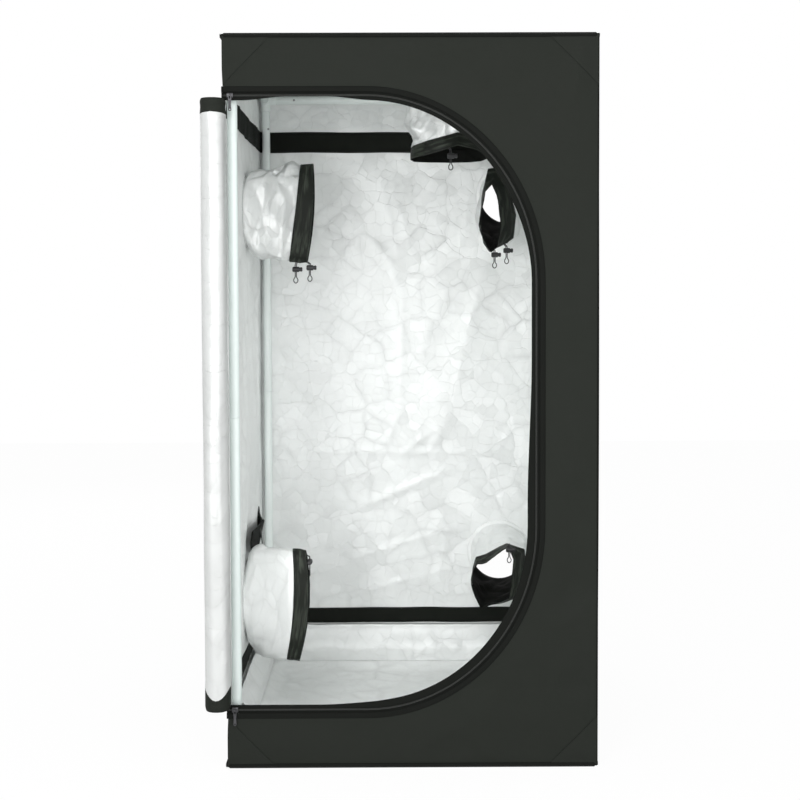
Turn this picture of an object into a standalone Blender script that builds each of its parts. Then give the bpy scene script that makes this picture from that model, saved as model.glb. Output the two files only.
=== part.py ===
"""An indoor grow tent: a push-fit frame of white steel tube inside a black cloth shell lined with
silver film, with a rolled-up D-shaped door, its zip, duct sleeves and their cord locks.

Metres, +Z up. The origin is the centre of the floor's underside and the doorway faces -Y.
"""

import math

import bmesh
import bpy
from mathutils import Matrix, Vector

# Driving sizes
TENT_WIDTH = 0.812
TENT_DEPTH = 0.812
TENT_HEIGHT = 1.600
CLOTH = 0.0015
GAP = 0.0003
MERGE = 0.00001

# Frame tubes and their push-fit corners
TUBE_RADIUS = 0.011
TUBE_WALL = 0.0012
TUBE_SIDES = 16
WALL_SLACK = 0.008
SNAP_SIDES = 8
CORNER_EXTRA = 0.0018
CORNER_CAP = 0.030
CORNER_TOP_SHARE = 0.8
CORNER_ROUND_SHARE = 0.25
CORNER_ARM = 0.030
SPIGOT_REACH = 0.092
SNAP_FROM_CORNER = 0.078
SNAP_RADIUS = 0.003
SNAP_PROUD = 0.0010
POST_JOINT_SHARE = 0.481
SWAGE_LENGTH = 0.045

# Hanging bars
BAR_RADIUS = 0.008
BAR_HOOK_THICK = 0.0025
BAR_HOOK_WIDTH = 0.020
HOOK_START_DEGREES = -20
HOOK_END_DEGREES = 200
HOOK_STEPS = 9
FRONT_BAR_SHARE = -0.185
BACK_BAR_SHARE = 0.290

# Shell
SEAM_PROUD = 0.0022
SEAM_HEIGHT = 0.005
SEAM_CORNER = 0.006
HEM_WIDTH = 0.010
HEM_PROUD = 0.0010
PATCH_LEG = 0.104
PATCH_PROUD = 0.0006
TAPE_BAND_THICK = 0.0010
UPPER_BAND_FROM_TOP = 0.130
UPPER_BAND_WIDTH = 0.054
LOWER_BAND_HEIGHT = 0.120
LOWER_BAND_WIDTH = 0.057
TRAY_THICK = 0.0010
TRAY_HEIGHT = 0.117
TRAY_CORNER = 0.012
TRAY_CORNER_STEPS = 3
SHELL_CORNER_STEPS = 3
ROUND_SHARE = 0.5
FLAT_DEGREES = 0.1

# Doorway and its zip
TOP_STRIP = 0.143
BOTTOM_STRIP = 0.139
SIDE_STRIP = 0.143
ARC_WIDTH_SHARE = 0.537
ARC_HEIGHT_SHARE = 0.297
ARC_STEPS = 12
ZIP_TAPE_WIDTH = 0.017
ZIP_TAPE_THICK = 0.0008
ZIP_LAP = 0.006
COIL_FROM_EDGE = 0.0095
COIL_WIDTH = 0.0032
COIL_HEIGHT = 0.0030
SLIDER_LENGTH = 0.013
SLIDER_HEIGHT = 0.0105
SLIDER_TOP = 0.0022
SLIDER_TOP_SHARE = 0.6
SLIDER_FROM_EDGE = 0.0185
LUG_THICK = 0.0020
LUG_RADIUS = 0.0030
LUG_BORE_RADIUS = 0.0016
LUG_STEPS = 8
HOLE_SIDES = 10
PULL_LENGTH = 0.034
PULL_WIDTH = 0.0070
PULL_THICK = 0.0014
PULL_BAR = 0.0014
PULL_WINDOW_HEIGHT = 0.0070
PULL_HOLE_RADIUS = 0.0017
PULL_WAIST_SHARE = 0.72
PULL_WAIST_DROP_SHARE = 0.55

# Rolled-up door
ROLL_RADIUS = 0.030
ROLL_TURNS = 6
ROLL_CORE = 0.0065
ROLL_POINTS_A_TURN = 18
DOOR_CLOTH = 0.0015
ROLL_OUT = 0.034
ROLL_ASIDE = 0.017
DOOR_END_GAP = 0.002
TAIL_SHARES = (0, 0.35, 0.7)

# Duct sleeves
UPPER_SIDE_PORT_RADIUS = 0.080
LOWER_SIDE_PORT_RADIUS = 0.083
ROOF_PORT_RADIUS = 0.075
UPPER_BACK_PORT_RADIUS = 0.078
LOWER_BACK_PORT_RADIUS = 0.077
CABLE_PORT_RADIUS = 0.026
SLEEVE_WALL = 0.0012
SLEEVE_FLANGE = 0.012
SLEEVE_SIDES = 20
CUFF_LENGTH = 0.038
CUFF_PROUD = 0.0008
FOLD_DEPTH = 0.0045
FOLD_COUNT = 5
PORT_SIDES = 24
TUBE_RINGS = 5

# Cord locks and drawstrings
CORD_RADIUS = 0.0012
CORD_SPACING = 0.0034
CORD_LOOP_RADIUS = 0.0055
LOCK_RADIUS = 0.0068
LOCK_LENGTH = 0.0170
LOCK_SIDES = 14
LOCK_FROM_CUFF = 0.0030
LOCK_STAND_OFF = 0.0045
SIDE_LOCK_DROP = 0.014
PLUNGER_RADIUS = 0.0049
PLUNGER_HEAD_RADIUS = 0.0056
PLUNGER_HEAD_LENGTH = 0.0050
PLUNGER_TRAVEL = 0.0030
LOCK_SLIDE = 0.012
LEAD_OUT_SHARES = (0.45, 0.85)
LEAD_DROP_SHARES = (0.12, 0.45)
BULB_SHARES = ((-0.9, 1.1), (-0.85, 2.2), (0, 2.9), (0.85, 2.2), (0.9, 1.1))
CORD_STEP_SHARE = 5
BARREL_FOOT_SHARE = 0.3
BARREL_FACE_SHARE = 0.7
BARREL_RIM_SHARE = 0.93
BARREL_RIM_DEPTH_SHARE = 0.15
PLUNGER_FACE_SHARE = 0.75
PLUNGER_EDGE_SHARE = 0.3

# Places worked out from the driving sizes
HALF_WIDTH = TENT_WIDTH / 2
HALF_DEPTH = TENT_DEPTH / 2
TUBE_BORE = TUBE_RADIUS - TUBE_WALL
CORNER_RADIUS = TUBE_RADIUS + CORNER_EXTRA
POST_X = HALF_WIDTH - CLOTH - WALL_SLACK - TUBE_RADIUS
POST_Y = HALF_DEPTH - CLOTH - WALL_SLACK - TUBE_RADIUS
RAIL_LOW_Z = CLOTH + GAP + CORNER_CAP
RAIL_HIGH_Z = TENT_HEIGHT - RAIL_LOW_Z
WALL_LOW_Z = CLOTH + GAP
WALL_HIGH_Z = TENT_HEIGHT - CLOTH - GAP
DOOR_TOP_Z = TENT_HEIGHT - TOP_STRIP
DOOR_BOTTOM_Z = BOTTOM_STRIP
DOOR_RIGHT_X = HALF_WIDTH - SIDE_STRIP
ARC_WIDTH = (DOOR_RIGHT_X + HALF_WIDTH) * ARC_WIDTH_SHARE
ARC_HEIGHT = (DOOR_TOP_Z - DOOR_BOTTOM_Z) * ARC_HEIGHT_SHARE
INNER_X = HALF_WIDTH - CLOTH
INNER_Y = HALF_DEPTH - CLOTH
COIL_CREST_Y = -HALF_DEPTH + CLOTH + GAP - COIL_HEIGHT

WHITE_STEEL = (0.86, 0.89, 0.90)
BLACK_CLOTH = (0.027, 0.028, 0.026)
SILVER_FILM = (0.78, 0.79, 0.80)
BLACK_TAPE = (0.015, 0.015, 0.016)
BLACK_PLASTIC = (0.012, 0.012, 0.013)
DARK_METAL = (0.05, 0.05, 0.055)


def clear_scene():
    for obj in list(bpy.data.objects):
        bpy.data.objects.remove(obj, do_unlink=True)


def new_collection(name):
    collection = bpy.data.collections.new(name)
    bpy.context.scene.collection.children.link(collection)
    return collection


clear_scene()
TENT = new_collection("indoor_grow_tent")
CUTTERS = new_collection("cutters")


def give_material(obj, colour, roughness, metallic):
    material = bpy.data.materials.new(obj.name)
    material.use_nodes = True
    shader = material.node_tree.nodes["Principled BSDF"]
    shader.inputs["Base Color"].default_value = (*colour, 1)
    shader.inputs["Roughness"].default_value = roughness
    shader.inputs["Metallic"].default_value = metallic
    obj.data.materials.clear()
    obj.data.materials.append(material)


def place(name, mesh, finish, location=(0, 0, 0), rotation=None):
    """Puts a mesh in the tent as the node called name."""
    obj = bpy.data.objects.new(name, mesh)
    TENT.objects.link(obj)
    obj.location = location
    if rotation is not None:
        obj.rotation_euler = rotation.to_euler()
    give_material(obj, *finish)
    return obj


STEEL_FINISH = (WHITE_STEEL, 0.35, 0.0)
CLOTH_FINISH = (BLACK_CLOTH, 0.8, 0.0)
FILM_FINISH = (SILVER_FILM, 0.35, 0.6)
TAPE_FINISH = (BLACK_TAPE, 0.9, 0.0)
PLASTIC_FINISH = (BLACK_PLASTIC, 0.45, 0.0)
METAL_FINISH = (DARK_METAL, 0.4, 0.7)


def helper(name, data, matrix=None):
    """An object that is only cut with, joined or read, never a node."""
    obj = bpy.data.objects.new(name, data)
    CUTTERS.objects.link(obj)
    obj.hide_render = True
    obj.display_type = "WIRE"
    if matrix is not None:
        obj.matrix_world = matrix
    return obj


def baked(obj):
    """The object's evaluated mesh in world space, closed, after which the object is removed."""
    bpy.context.view_layer.update()
    graph = bpy.context.evaluated_depsgraph_get()
    mesh = bpy.data.meshes.new_from_object(obj.evaluated_get(graph))
    mesh.transform(obj.matrix_world)
    bpy.data.objects.remove(obj, do_unlink=True)
    work = bmesh.new()
    work.from_mesh(mesh)
    bmesh.ops.remove_doubles(work, verts=work.verts, dist=MERGE)
    bmesh.ops.recalc_face_normals(work, faces=work.faces)
    work.to_mesh(mesh)
    work.free()
    return mesh


def combined(base, others, operation):
    """The mesh of base after others are joined to it or cut from it."""
    body = helper("body", base)
    tools = []
    for mesh in others:
        tool = helper("tool", mesh)
        modifier = body.modifiers.new("combine", "BOOLEAN")
        modifier.operation = operation
        modifier.solver = "EXACT"
        modifier.object = tool
        tools.append(tool)
    result = baked(body)
    for tool in tools:
        bpy.data.objects.remove(tool, do_unlink=True)
    return result


def turned(profile, sides):
    """A closed profile of (radius, height) turned about Z. It runs down its outer side."""
    work = bmesh.new()
    points = [work.verts.new((radius, 0, height)) for radius, height in profile]
    for first, second in zip(points, points[1:] + points[:1]):
        if first.co.x > 0 or second.co.x > 0:
            work.edges.new((first, second))
    mesh = bpy.data.meshes.new("profile")
    work.to_mesh(mesh)
    work.free()
    obj = helper("turned", mesh)
    screw = obj.modifiers.new("screw", "SCREW")
    screw.steps = sides
    screw.render_steps = sides
    screw.use_merge_vertices = True
    screw.merge_threshold = MERGE
    return baked(obj)


def rod(start, end, radius, sides):
    """A solid cylinder from start to end."""
    start, end = Vector(start), Vector(end)
    along = end - start
    work = bmesh.new()
    bmesh.ops.create_cone(
        work, cap_ends=True, segments=sides, radius1=radius, radius2=radius, depth=along.length
    )
    turn = along.to_track_quat("Z", "Y").to_matrix().to_4x4()
    work.transform(Matrix.Translation((start + end) / 2) @ turn)
    mesh = bpy.data.meshes.new("rod")
    work.to_mesh(mesh)
    work.free()
    return mesh


def box_mesh(low, high):
    low, high = Vector(low), Vector(high)
    work = bmesh.new()
    bmesh.ops.create_cube(work, size=1)
    size = high - low
    work.transform(Matrix.Translation((low + high) / 2) @ Matrix.Diagonal((*size, 1)))
    mesh = bpy.data.meshes.new("box")
    work.to_mesh(mesh)
    work.free()
    return mesh


def axes(across, upwards, out):
    """The rotation that takes local X, Y and Z to the three directions given."""
    return Matrix((across, upwards, out)).transposed()


FRONT_FACING = axes((1, 0, 0), (0, 0, 1), (0, -1, 0))
SIDE_FACING = axes((0, 1, 0), (0, 0, 1), (1, 0, 0))
UP_FACING = Matrix.Identity(3)


def flat_mesh(loops, thickness, facing, offset):
    """A plate from closed outlines, the later ones holes. Its mid-plane lies at offset along facing."""
    curve = bpy.data.curves.new("outline", "CURVE")
    curve.dimensions = "2D"
    curve.fill_mode = "BOTH"
    curve.extrude = thickness / 2
    for loop in loops:
        spline = curve.splines.new("POLY")
        spline.points.add(len(loop) - 1)
        for point, (across, upwards) in zip(spline.points, loop):
            point.co = (across, upwards, 0, 1)
        spline.use_cyclic_u = True
    matrix = facing.to_4x4() @ Matrix.Translation((0, 0, offset))
    mesh = baked(helper("plate", curve, matrix))
    work = bmesh.new()
    work.from_mesh(mesh)
    bmesh.ops.dissolve_limit(
        work, angle_limit=math.radians(FLAT_DEGREES), verts=work.verts, edges=work.edges
    )
    work.to_mesh(mesh)
    work.free()
    return mesh


def circle(centre, radius, sides):
    return [
        (
            centre[0] + radius * math.cos(2 * math.pi * step / sides),
            centre[1] + radius * math.sin(2 * math.pi * step / sides),
        )
        for step in range(sides)
    ]


def rectangle(low, high):
    return [low, (high[0], low[1]), high, (low[0], high[1])]


def round_rectangle(half_x, half_y, corner):
    points = []
    for quarter, (sign_x, sign_y) in enumerate([(1, 1), (-1, 1), (-1, -1), (1, -1)]):
        for step in range(SHELL_CORNER_STEPS + 1):
            angle = math.pi / 2 * (quarter + step / SHELL_CORNER_STEPS)
            points.append(
                (
                    sign_x * (half_x - corner) + corner * math.cos(angle),
                    sign_y * (half_y - corner) + corner * math.sin(angle),
                )
            )
    return points


# Steel frame
def rail_mesh(length):
    """A straight tube along Z, centred on the origin, with a snap hole near each end facing +X."""
    half = length / 2
    tube = turned(
        [(TUBE_RADIUS, half), (TUBE_RADIUS, -half), (TUBE_BORE, -half), (TUBE_BORE, half)],
        TUBE_SIDES,
    )
    reach = half - (SNAP_FROM_CORNER - CORNER_ARM - GAP)
    holes = [snap_hole(height, (1, 0, 0)) for height in (-reach, reach)]
    return combined(tube, holes, "DIFFERENCE")


def snap_hole(height, side):
    direction = Vector(side).normalized()
    level = Vector((0, 0, height))
    return rod(
        level + direction * TUBE_BORE / 2,
        level + direction * TUBE_RADIUS * 2,
        SNAP_RADIUS + GAP * 2,
        SNAP_SIDES,
    )


def post_lower_mesh(low, high):
    tube = turned(
        [(TUBE_RADIUS, high), (TUBE_RADIUS, low), (TUBE_BORE, low), (TUBE_BORE, high)], TUBE_SIDES
    )
    return combined(tube, [snap_hole(RAIL_LOW_Z + SNAP_FROM_CORNER, (1, 1, 0))], "DIFFERENCE")


def post_upper_mesh(low, high):
    """The upper half, whose swaged end slips into the lower half's bore."""
    swage = TUBE_BORE - GAP
    swage_bore = swage - TUBE_WALL
    neck = low + TUBE_WALL
    tube = turned(
        [
            (TUBE_RADIUS, high),
            (TUBE_RADIUS, low),
            (swage, low),
            (swage, low - SWAGE_LENGTH),
            (swage_bore, low - SWAGE_LENGTH),
            (swage_bore, neck),
            (TUBE_BORE, neck + TUBE_WALL),
            (TUBE_BORE, high),
        ],
        TUBE_SIDES,
    )
    return combined(tube, [snap_hole(RAIL_HIGH_Z - SNAP_FROM_CORNER, (1, 1, 0))], "DIFFERENCE")


def corner_mesh():
    """A three-way corner about the crossing of its tubes, with arms to +X, +Y and -Z and a cap on top."""
    spigot = TUBE_BORE - GAP
    arm_radius = CORNER_RADIUS - 2 * GAP
    post = turned(
        [
            (0, CORNER_CAP),
            (CORNER_RADIUS * CORNER_TOP_SHARE, CORNER_CAP),
            (CORNER_RADIUS, CORNER_CAP - CORNER_RADIUS * CORNER_ROUND_SHARE),
            (CORNER_RADIUS, -CORNER_ARM),
            (spigot, -CORNER_ARM),
            (spigot, -SPIGOT_REACH),
            (0, -SPIGOT_REACH),
        ],
        TUBE_SIDES,
    )
    pieces = []
    for along, across in (((1, 0, 0), (0, 1, 0)), ((0, 1, 0), (1, 0, 0))):
        arm = turned(
            [
                (0, 0),
                (arm_radius, 0),
                (arm_radius, -CORNER_ARM),
                (spigot, -CORNER_ARM),
                (spigot, -SPIGOT_REACH),
                (0, -SPIGOT_REACH),
            ],
            TUBE_SIDES,
        )
        outward = Vector(along)
        arm.transform(axes(outward.cross(Vector(across)), Vector(across), -outward).to_4x4())
        pieces.append(arm)
    for along, side in (((1, 0, 0), (0, 1, 0)), ((0, 1, 0), (1, 0, 0)), ((0, 0, -1), (1, 1, 0))):
        snap = Vector(along) * SNAP_FROM_CORNER
        tip = snap + Vector(side).normalized() * (TUBE_RADIUS + SNAP_PROUD)
        pieces.append(rod(snap, tip, SNAP_RADIUS, SNAP_SIDES))
    return combined(post, pieces, "UNION")


def quarter_turns(turns):
    return Matrix.Rotation(turns * math.pi / 2, 3, "Z")


CORNERS = [
    ("front_left", -1, -1, 0),
    ("front_right", 1, -1, 1),
    ("back_right", 1, 1, 2),
    ("back_left", -1, 1, 3),
]


def build_frame():
    upside_down = axes((0, 1, 0), (1, 0, 0), (0, 0, -1))
    joint = TENT_HEIGHT * POST_JOINT_SHARE
    tube_start = CORNER_ARM + GAP
    corner = corner_mesh()
    lower = post_lower_mesh(RAIL_LOW_Z + tube_start, joint - GAP)
    upper = post_upper_mesh(joint, RAIL_HIGH_Z - tube_start)
    for place_name, sign_x, sign_y, turns in CORNERS:
        spot = (sign_x * POST_X, sign_y * POST_Y)
        turn = quarter_turns(turns)
        place(f"corner_top_{place_name}", corner, STEEL_FINISH, (*spot, RAIL_HIGH_Z), turn)
        place(f"corner_bottom_{place_name}", corner, STEEL_FINISH, (*spot, RAIL_LOW_Z), turn @ upside_down)
        place(f"post_upper_{place_name}", upper, STEEL_FINISH, (*spot, 0), turn)
        place(f"post_lower_{place_name}", lower, STEEL_FINISH, (*spot, 0), turn)
    across = rail_mesh(2 * (POST_X - tube_start))
    along = rail_mesh(2 * (POST_Y - tube_start))
    rails = [
        ("front", across, (0, -POST_Y), axes((0, 1, 0), (0, 0, 1), (1, 0, 0))),
        ("back", across, (0, POST_Y), axes((0, -1, 0), (0, 0, -1), (1, 0, 0))),
        ("left", along, (-POST_X, 0), axes((1, 0, 0), (0, 0, -1), (0, 1, 0))),
        ("right", along, (POST_X, 0), axes((-1, 0, 0), (0, 0, 1), (0, 1, 0))),
    ]
    for level, height in (("top", RAIL_HIGH_Z), ("bottom", RAIL_LOW_Z)):
        for side, mesh, spot, turn in rails:
            place(f"rail_{level}_{side}", mesh, STEEL_FINISH, (*spot, height), turn)


def bar_mesh():
    """A bar along X with a saddle hook over the side rail at each end."""
    inner = TUBE_RADIUS + GAP
    outer = inner + BAR_HOOK_THICK
    start, turn = math.radians(HOOK_START_DEGREES), math.radians(HOOK_END_DEGREES - HOOK_START_DEGREES)
    angles = [start + turn * step / HOOK_STEPS for step in range(HOOK_STEPS + 1)]
    widen = 1 / math.cos(turn / HOOK_STEPS / 2)
    hooks = []
    for side in (-1, 1):
        loop = [(side * POST_X + outer * math.cos(a), outer * math.sin(a)) for a in angles]
        loop += [
            (side * POST_X + inner * widen * math.cos(a), inner * widen * math.sin(a))
            for a in reversed(angles)
        ]
        hooks.append(flat_mesh([loop], BAR_HOOK_WIDTH, FRONT_FACING, 0))
    reach = POST_X - inner - BAR_HOOK_THICK / 2
    bar = rod((-reach, 0, 0), (reach, 0, 0), BAR_RADIUS, TUBE_SIDES)
    return combined(bar, hooks, "UNION")


def build_bars():
    mesh = bar_mesh()
    for name, share in (("front", FRONT_BAR_SHARE), ("back", BACK_BAR_SHARE)):
        place(f"hanging_bar_{name}", mesh, STEEL_FINISH, (0, TENT_DEPTH * share, RAIL_HIGH_Z))


# Cloth shell
def doorway_edge(outset):
    """The doorway's edge moved outwards, from the left end of its top round to the left end of its foot."""
    centre_x = DOOR_RIGHT_X - ARC_WIDTH
    high_centre = DOOR_TOP_Z - ARC_HEIGHT
    low_centre = DOOR_BOTTOM_Z + ARC_HEIGHT
    across, upwards = ARC_WIDTH + outset, ARC_HEIGHT + outset
    angles = [math.pi / 2 * step / ARC_STEPS for step in range(ARC_STEPS + 1)]
    points = [(-HALF_WIDTH, DOOR_TOP_Z + outset)]
    points += [(centre_x + across * math.sin(a), high_centre + upwards * math.cos(a)) for a in angles]
    points += [(centre_x + across * math.cos(a), low_centre - upwards * math.sin(a)) for a in angles]
    points.append((-HALF_WIDTH, DOOR_BOTTOM_Z - outset))
    return points


def build_front_panel():
    """A C-shaped panel with a raised hem round the doorway and a patch in each corner."""
    work = bmesh.new()

    def row(points):
        return [work.verts.new((across, -HALF_DEPTH, upwards)) for across, upwards in points]

    corners = row(rectangle((-HALF_WIDTH, WALL_LOW_Z), (HALF_WIDTH, WALL_HIGH_Z)))
    edge = row(doorway_edge(ZIP_TAPE_WIDTH))
    hem_edge = row(doorway_edge(ZIP_TAPE_WIDTH + HEM_WIDTH))
    cloth = work.faces.new(corners + hem_edge)
    hem = work.faces.new(hem_edge[::-1] + edge)
    for region, step in (([cloth, hem], CLOTH), ([hem], -HEM_PROUD)):
        moved = bmesh.ops.extrude_face_region(work, geom=region)["geom"]
        points = [item for item in moved if isinstance(item, bmesh.types.BMVert)]
        bmesh.ops.translate(work, vec=(0, step, 0), verts=points)
    bmesh.ops.delete(work, geom=[hem], context="FACES_ONLY")
    bmesh.ops.recalc_face_normals(work, faces=work.faces)
    panel = bpy.data.meshes.new("front_panel")
    work.to_mesh(panel)
    work.free()
    patches = []
    low, high = WALL_LOW_Z + SEAM_HEIGHT, WALL_HIGH_Z - SEAM_HEIGHT
    side = HALF_WIDTH - GAP
    for sign_x in (-1, 1):
        for level, way in ((low, 1), (high, -1)):
            corner = [
                (sign_x * side, level),
                (sign_x * (side - PATCH_LEG), level),
                (sign_x * side, level + way * PATCH_LEG),
            ]
            patches.append(
                flat_mesh(
                    [corner],
                    CLOTH / 2 + PATCH_PROUD,
                    FRONT_FACING,
                    HALF_DEPTH + PATCH_PROUD - (CLOTH / 2 + PATCH_PROUD) / 2,
                )
            )
    place("front_panel", combined(panel, patches, "UNION"), CLOTH_FINISH)


def build_walls():
    """The left, right and back walls, with a round port for each sleeve."""
    low = (-INNER_Y + GAP, WALL_LOW_Z)
    high = (INNER_Y - GAP, WALL_HIGH_Z)
    ports = {"left": [], "back": []}
    for sleeve in SLEEVES:
        if sleeve["wall"] in ports:
            centre = sleeve["port"]
            spot = (centre.y, centre.z) if sleeve["wall"] == "left" else (centre.x, centre.z)
            ports[sleeve["wall"]].append(circle(spot, sleeve["radius"], PORT_SIDES))
    middle_x = HALF_WIDTH - CLOTH / 2
    left = flat_mesh([rectangle(low, high), *ports["left"]], CLOTH, SIDE_FACING, -middle_x)
    right = flat_mesh([rectangle(low, high)], CLOTH, SIDE_FACING, middle_x)
    outline = rectangle((-HALF_WIDTH, WALL_LOW_Z), (HALF_WIDTH, WALL_HIGH_Z))
    back = flat_mesh([outline, *ports["back"]], CLOTH, FRONT_FACING, -(HALF_DEPTH - CLOTH / 2))
    place("left_wall", left, CLOTH_FINISH)
    place("right_wall", right, CLOTH_FINISH)
    place("back_wall", back, CLOTH_FINISH)


def lidded_plate(face_z, inward):
    """A roof or floor panel whose bound edge stands proud of the walls and laps over their ends."""
    half_x, half_y = HALF_WIDTH + SEAM_PROUD, HALF_DEPTH + SEAM_PROUD
    outline = round_rectangle(half_x, half_y, SEAM_CORNER)
    lid = flat_mesh([outline], SEAM_HEIGHT, UP_FACING, face_z + inward * SEAM_HEIGHT / 2)
    clear = PATCH_PROUD + GAP
    levels = sorted((face_z + inward * CLOTH, face_z + inward * 2 * SEAM_HEIGHT))
    inside = box_mesh(
        (-HALF_WIDTH - GAP, -HALF_DEPTH - clear, levels[0]),
        (HALF_WIDTH + GAP, HALF_DEPTH + GAP, levels[1]),
    )
    return combined(lid, [inside], "DIFFERENCE")


def build_roof_and_floor():
    through = UP * CLOTH * 2
    ports = [
        rod(item["port"] - through, item["port"] + through, item["radius"], PORT_SIDES)
        for item in SLEEVES
        if item["wall"] == "roof"
    ]
    place("roof_panel", combined(lidded_plate(TENT_HEIGHT, -1), ports, "DIFFERENCE"), CLOTH_FINISH)
    place("floor_panel", lidded_plate(0, 1), CLOTH_FINISH)


def build_bands():
    """Woven tape sewn round the left, back and right walls, high and low."""
    outer_x, outer_y = INNER_X - GAP, INNER_Y - GAP
    inner_x, inner_y = outer_x - TAPE_BAND_THICK, outer_y - TAPE_BAND_THICK
    front = -INNER_Y + ZIP_TAPE_THICK + 2 * GAP
    outline = [
        (-outer_x, front),
        (-outer_x, outer_y),
        (outer_x, outer_y),
        (outer_x, front),
        (inner_x, front),
        (inner_x, inner_y),
        (-inner_x, inner_y),
        (-inner_x, front),
    ]
    upper = TENT_HEIGHT - UPPER_BAND_FROM_TOP - UPPER_BAND_WIDTH / 2
    lower = LOWER_BAND_HEIGHT + LOWER_BAND_WIDTH / 2
    place("upper_wall_band", flat_mesh([outline], UPPER_BAND_WIDTH, UP_FACING, upper), TAPE_FINISH)
    place("lower_wall_band", flat_mesh([outline], LOWER_BAND_WIDTH, UP_FACING, lower), TAPE_FINISH)


def build_tray():
    """The removable waterproof tray: an open box that stands inside the lower rails."""
    half_x = POST_X - CORNER_RADIUS - GAP
    half_y = POST_Y - CORNER_RADIUS - GAP
    floor = WALL_LOW_Z
    work = bmesh.new()
    bmesh.ops.create_cube(work, size=1)
    size = Vector((2 * half_x, 2 * half_y, TRAY_HEIGHT - floor))
    work.transform(Matrix.Translation((0, 0, floor + size.z / 2)) @ Matrix.Diagonal((*size, 1)))
    top = [face for face in work.faces if face.normal.z > abs(face.normal.x) + abs(face.normal.y)]
    bmesh.ops.delete(work, geom=top, context="FACES_ONLY")
    upright = [edge for edge in work.edges if abs(edge.verts[0].co.z - edge.verts[1].co.z) > size.z / 2]
    bmesh.ops.bevel(
        work,
        geom=upright,
        offset=TRAY_CORNER,
        segments=TRAY_CORNER_STEPS,
        profile=ROUND_SHARE,
        affect="EDGES",
        material=-1,
    )
    mesh = bpy.data.meshes.new("tray")
    work.to_mesh(mesh)
    work.free()
    obj = place("floor_tray", mesh, FILM_FINISH)
    shell = obj.modifiers.new("wall", "SOLIDIFY")
    shell.thickness = TRAY_THICK
    shell.offset = -1
    shell.use_even_offset = True


# Zip
def build_zip():
    """The zip's tape and coil, swept round the doorway behind the panel's hem."""
    profile = bpy.data.curves.new("zip_profile", "CURVE")
    profile.dimensions = "2D"
    spline = profile.splines.new("POLY")
    back, face = ZIP_TAPE_THICK / 2, -ZIP_TAPE_THICK / 2
    width = ZIP_TAPE_WIDTH + ZIP_LAP
    edge = -width / 2
    coil = edge + COIL_FROM_EDGE
    half_coil = COIL_WIDTH / 2
    crest = face - COIL_HEIGHT
    section = [
        (edge, back),
        (edge, face),
        (coil - half_coil, face),
        (coil - half_coil, (face + crest) / 2),
        (coil - half_coil / 2, crest),
        (coil + half_coil / 2, crest),
        (coil + half_coil, (face + crest) / 2),
        (coil + half_coil, face),
        (-edge, face),
        (-edge, back),
    ]
    spline.points.add(len(section) - 1)
    for point, (across, depth) in zip(spline.points, section):
        point.co = (-across, -depth, 0, 1)
    spline.use_cyclic_u = True
    guide = helper("zip_section", profile)
    path = bpy.data.curves.new("zip_path", "CURVE")
    path.dimensions = "2D"
    route = path.splines.new("POLY")
    points = doorway_edge(width / 2)
    points[0] = (-INNER_X + GAP, points[0][1])
    points[-1] = (-INNER_X + GAP, points[-1][1])
    route.points.add(len(points) - 1)
    for point, (across, upwards) in zip(route.points, points):
        point.co = (across, upwards, 0, 1)
    path.bevel_mode = "OBJECT"
    path.bevel_object = guide
    path.use_fill_caps = True
    depth = HALF_DEPTH - CLOTH - GAP - ZIP_TAPE_THICK / 2
    matrix = FRONT_FACING.to_4x4() @ Matrix.Translation((0, 0, depth))
    mesh = baked(helper("zip", path, matrix))
    bpy.data.objects.remove(guide, do_unlink=True)
    place("zip_tape", mesh, TAPE_FINISH)


def slider_mesh():
    """A slider about the coil's crest: it straddles the coil and carries a lug for its pull."""
    side = COIL_WIDTH / 2 + GAP
    half = SLIDER_HEIGHT / 2
    base = COIL_HEIGHT - GAP
    top = -GAP - SLIDER_TOP
    section = [
        (base, -half),
        (base, -side),
        (-GAP, -side),
        (-GAP, side),
        (base, side),
        (base, half),
        (top / 2, half),
        (top, half * SLIDER_TOP_SHARE),
        (top, -half * SLIDER_TOP_SHARE),
        (top / 2, -half),
    ]
    body = flat_mesh([section], SLIDER_LENGTH, SIDE_FACING, 0)
    pin = lug_centre()
    lug = [(top / 2, -LUG_RADIUS), (top / 2, LUG_RADIUS)]
    lug += [
        (pin - LUG_RADIUS * math.sin(angle), LUG_RADIUS * math.cos(angle))
        for angle in [math.pi * step / LUG_STEPS for step in range(LUG_STEPS + 1)]
    ]
    plate = flat_mesh([lug, circle((pin, 0), LUG_BORE_RADIUS, HOLE_SIDES)], LUG_THICK, SIDE_FACING, 0)
    return combined(body, [plate], "UNION")


def lug_centre():
    """How far in front of the coil's crest the pull's bar sits."""
    return -GAP - SLIDER_TOP - LUG_BORE_RADIUS - 2 * GAP


def pull_mesh():
    """A flat pull about its bar, hanging down, with a window for the lug and a hole in its foot."""
    half = PULL_WIDTH / 2
    bar = PULL_BAR / 2
    foot = -PULL_LENGTH
    waist, waist_z = half * PULL_WAIST_SHARE, foot * PULL_WAIST_DROP_SHARE
    outline = [(-half, bar), (half, bar), (half, -PULL_WINDOW_HEIGHT - 2 * PULL_BAR)]
    outline += [(waist, waist_z), (half, foot + half)]
    outline += [
        (half * math.cos(angle), foot + half - half * math.sin(angle))
        for angle in [math.pi * step / LUG_STEPS for step in range(1, LUG_STEPS)]
    ]
    outline += [(-half, foot + half), (-waist, waist_z), (-half, -PULL_WINDOW_HEIGHT - 2 * PULL_BAR)]
    window = rectangle((-LUG_THICK / 2 - 2 * GAP, -PULL_WINDOW_HEIGHT), (LUG_THICK / 2 + 2 * GAP, -bar))
    hole = circle((0, foot + half), PULL_HOLE_RADIUS, HOLE_SIDES)
    return flat_mesh([outline, window, hole], PULL_THICK, FRONT_FACING, 0)


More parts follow.
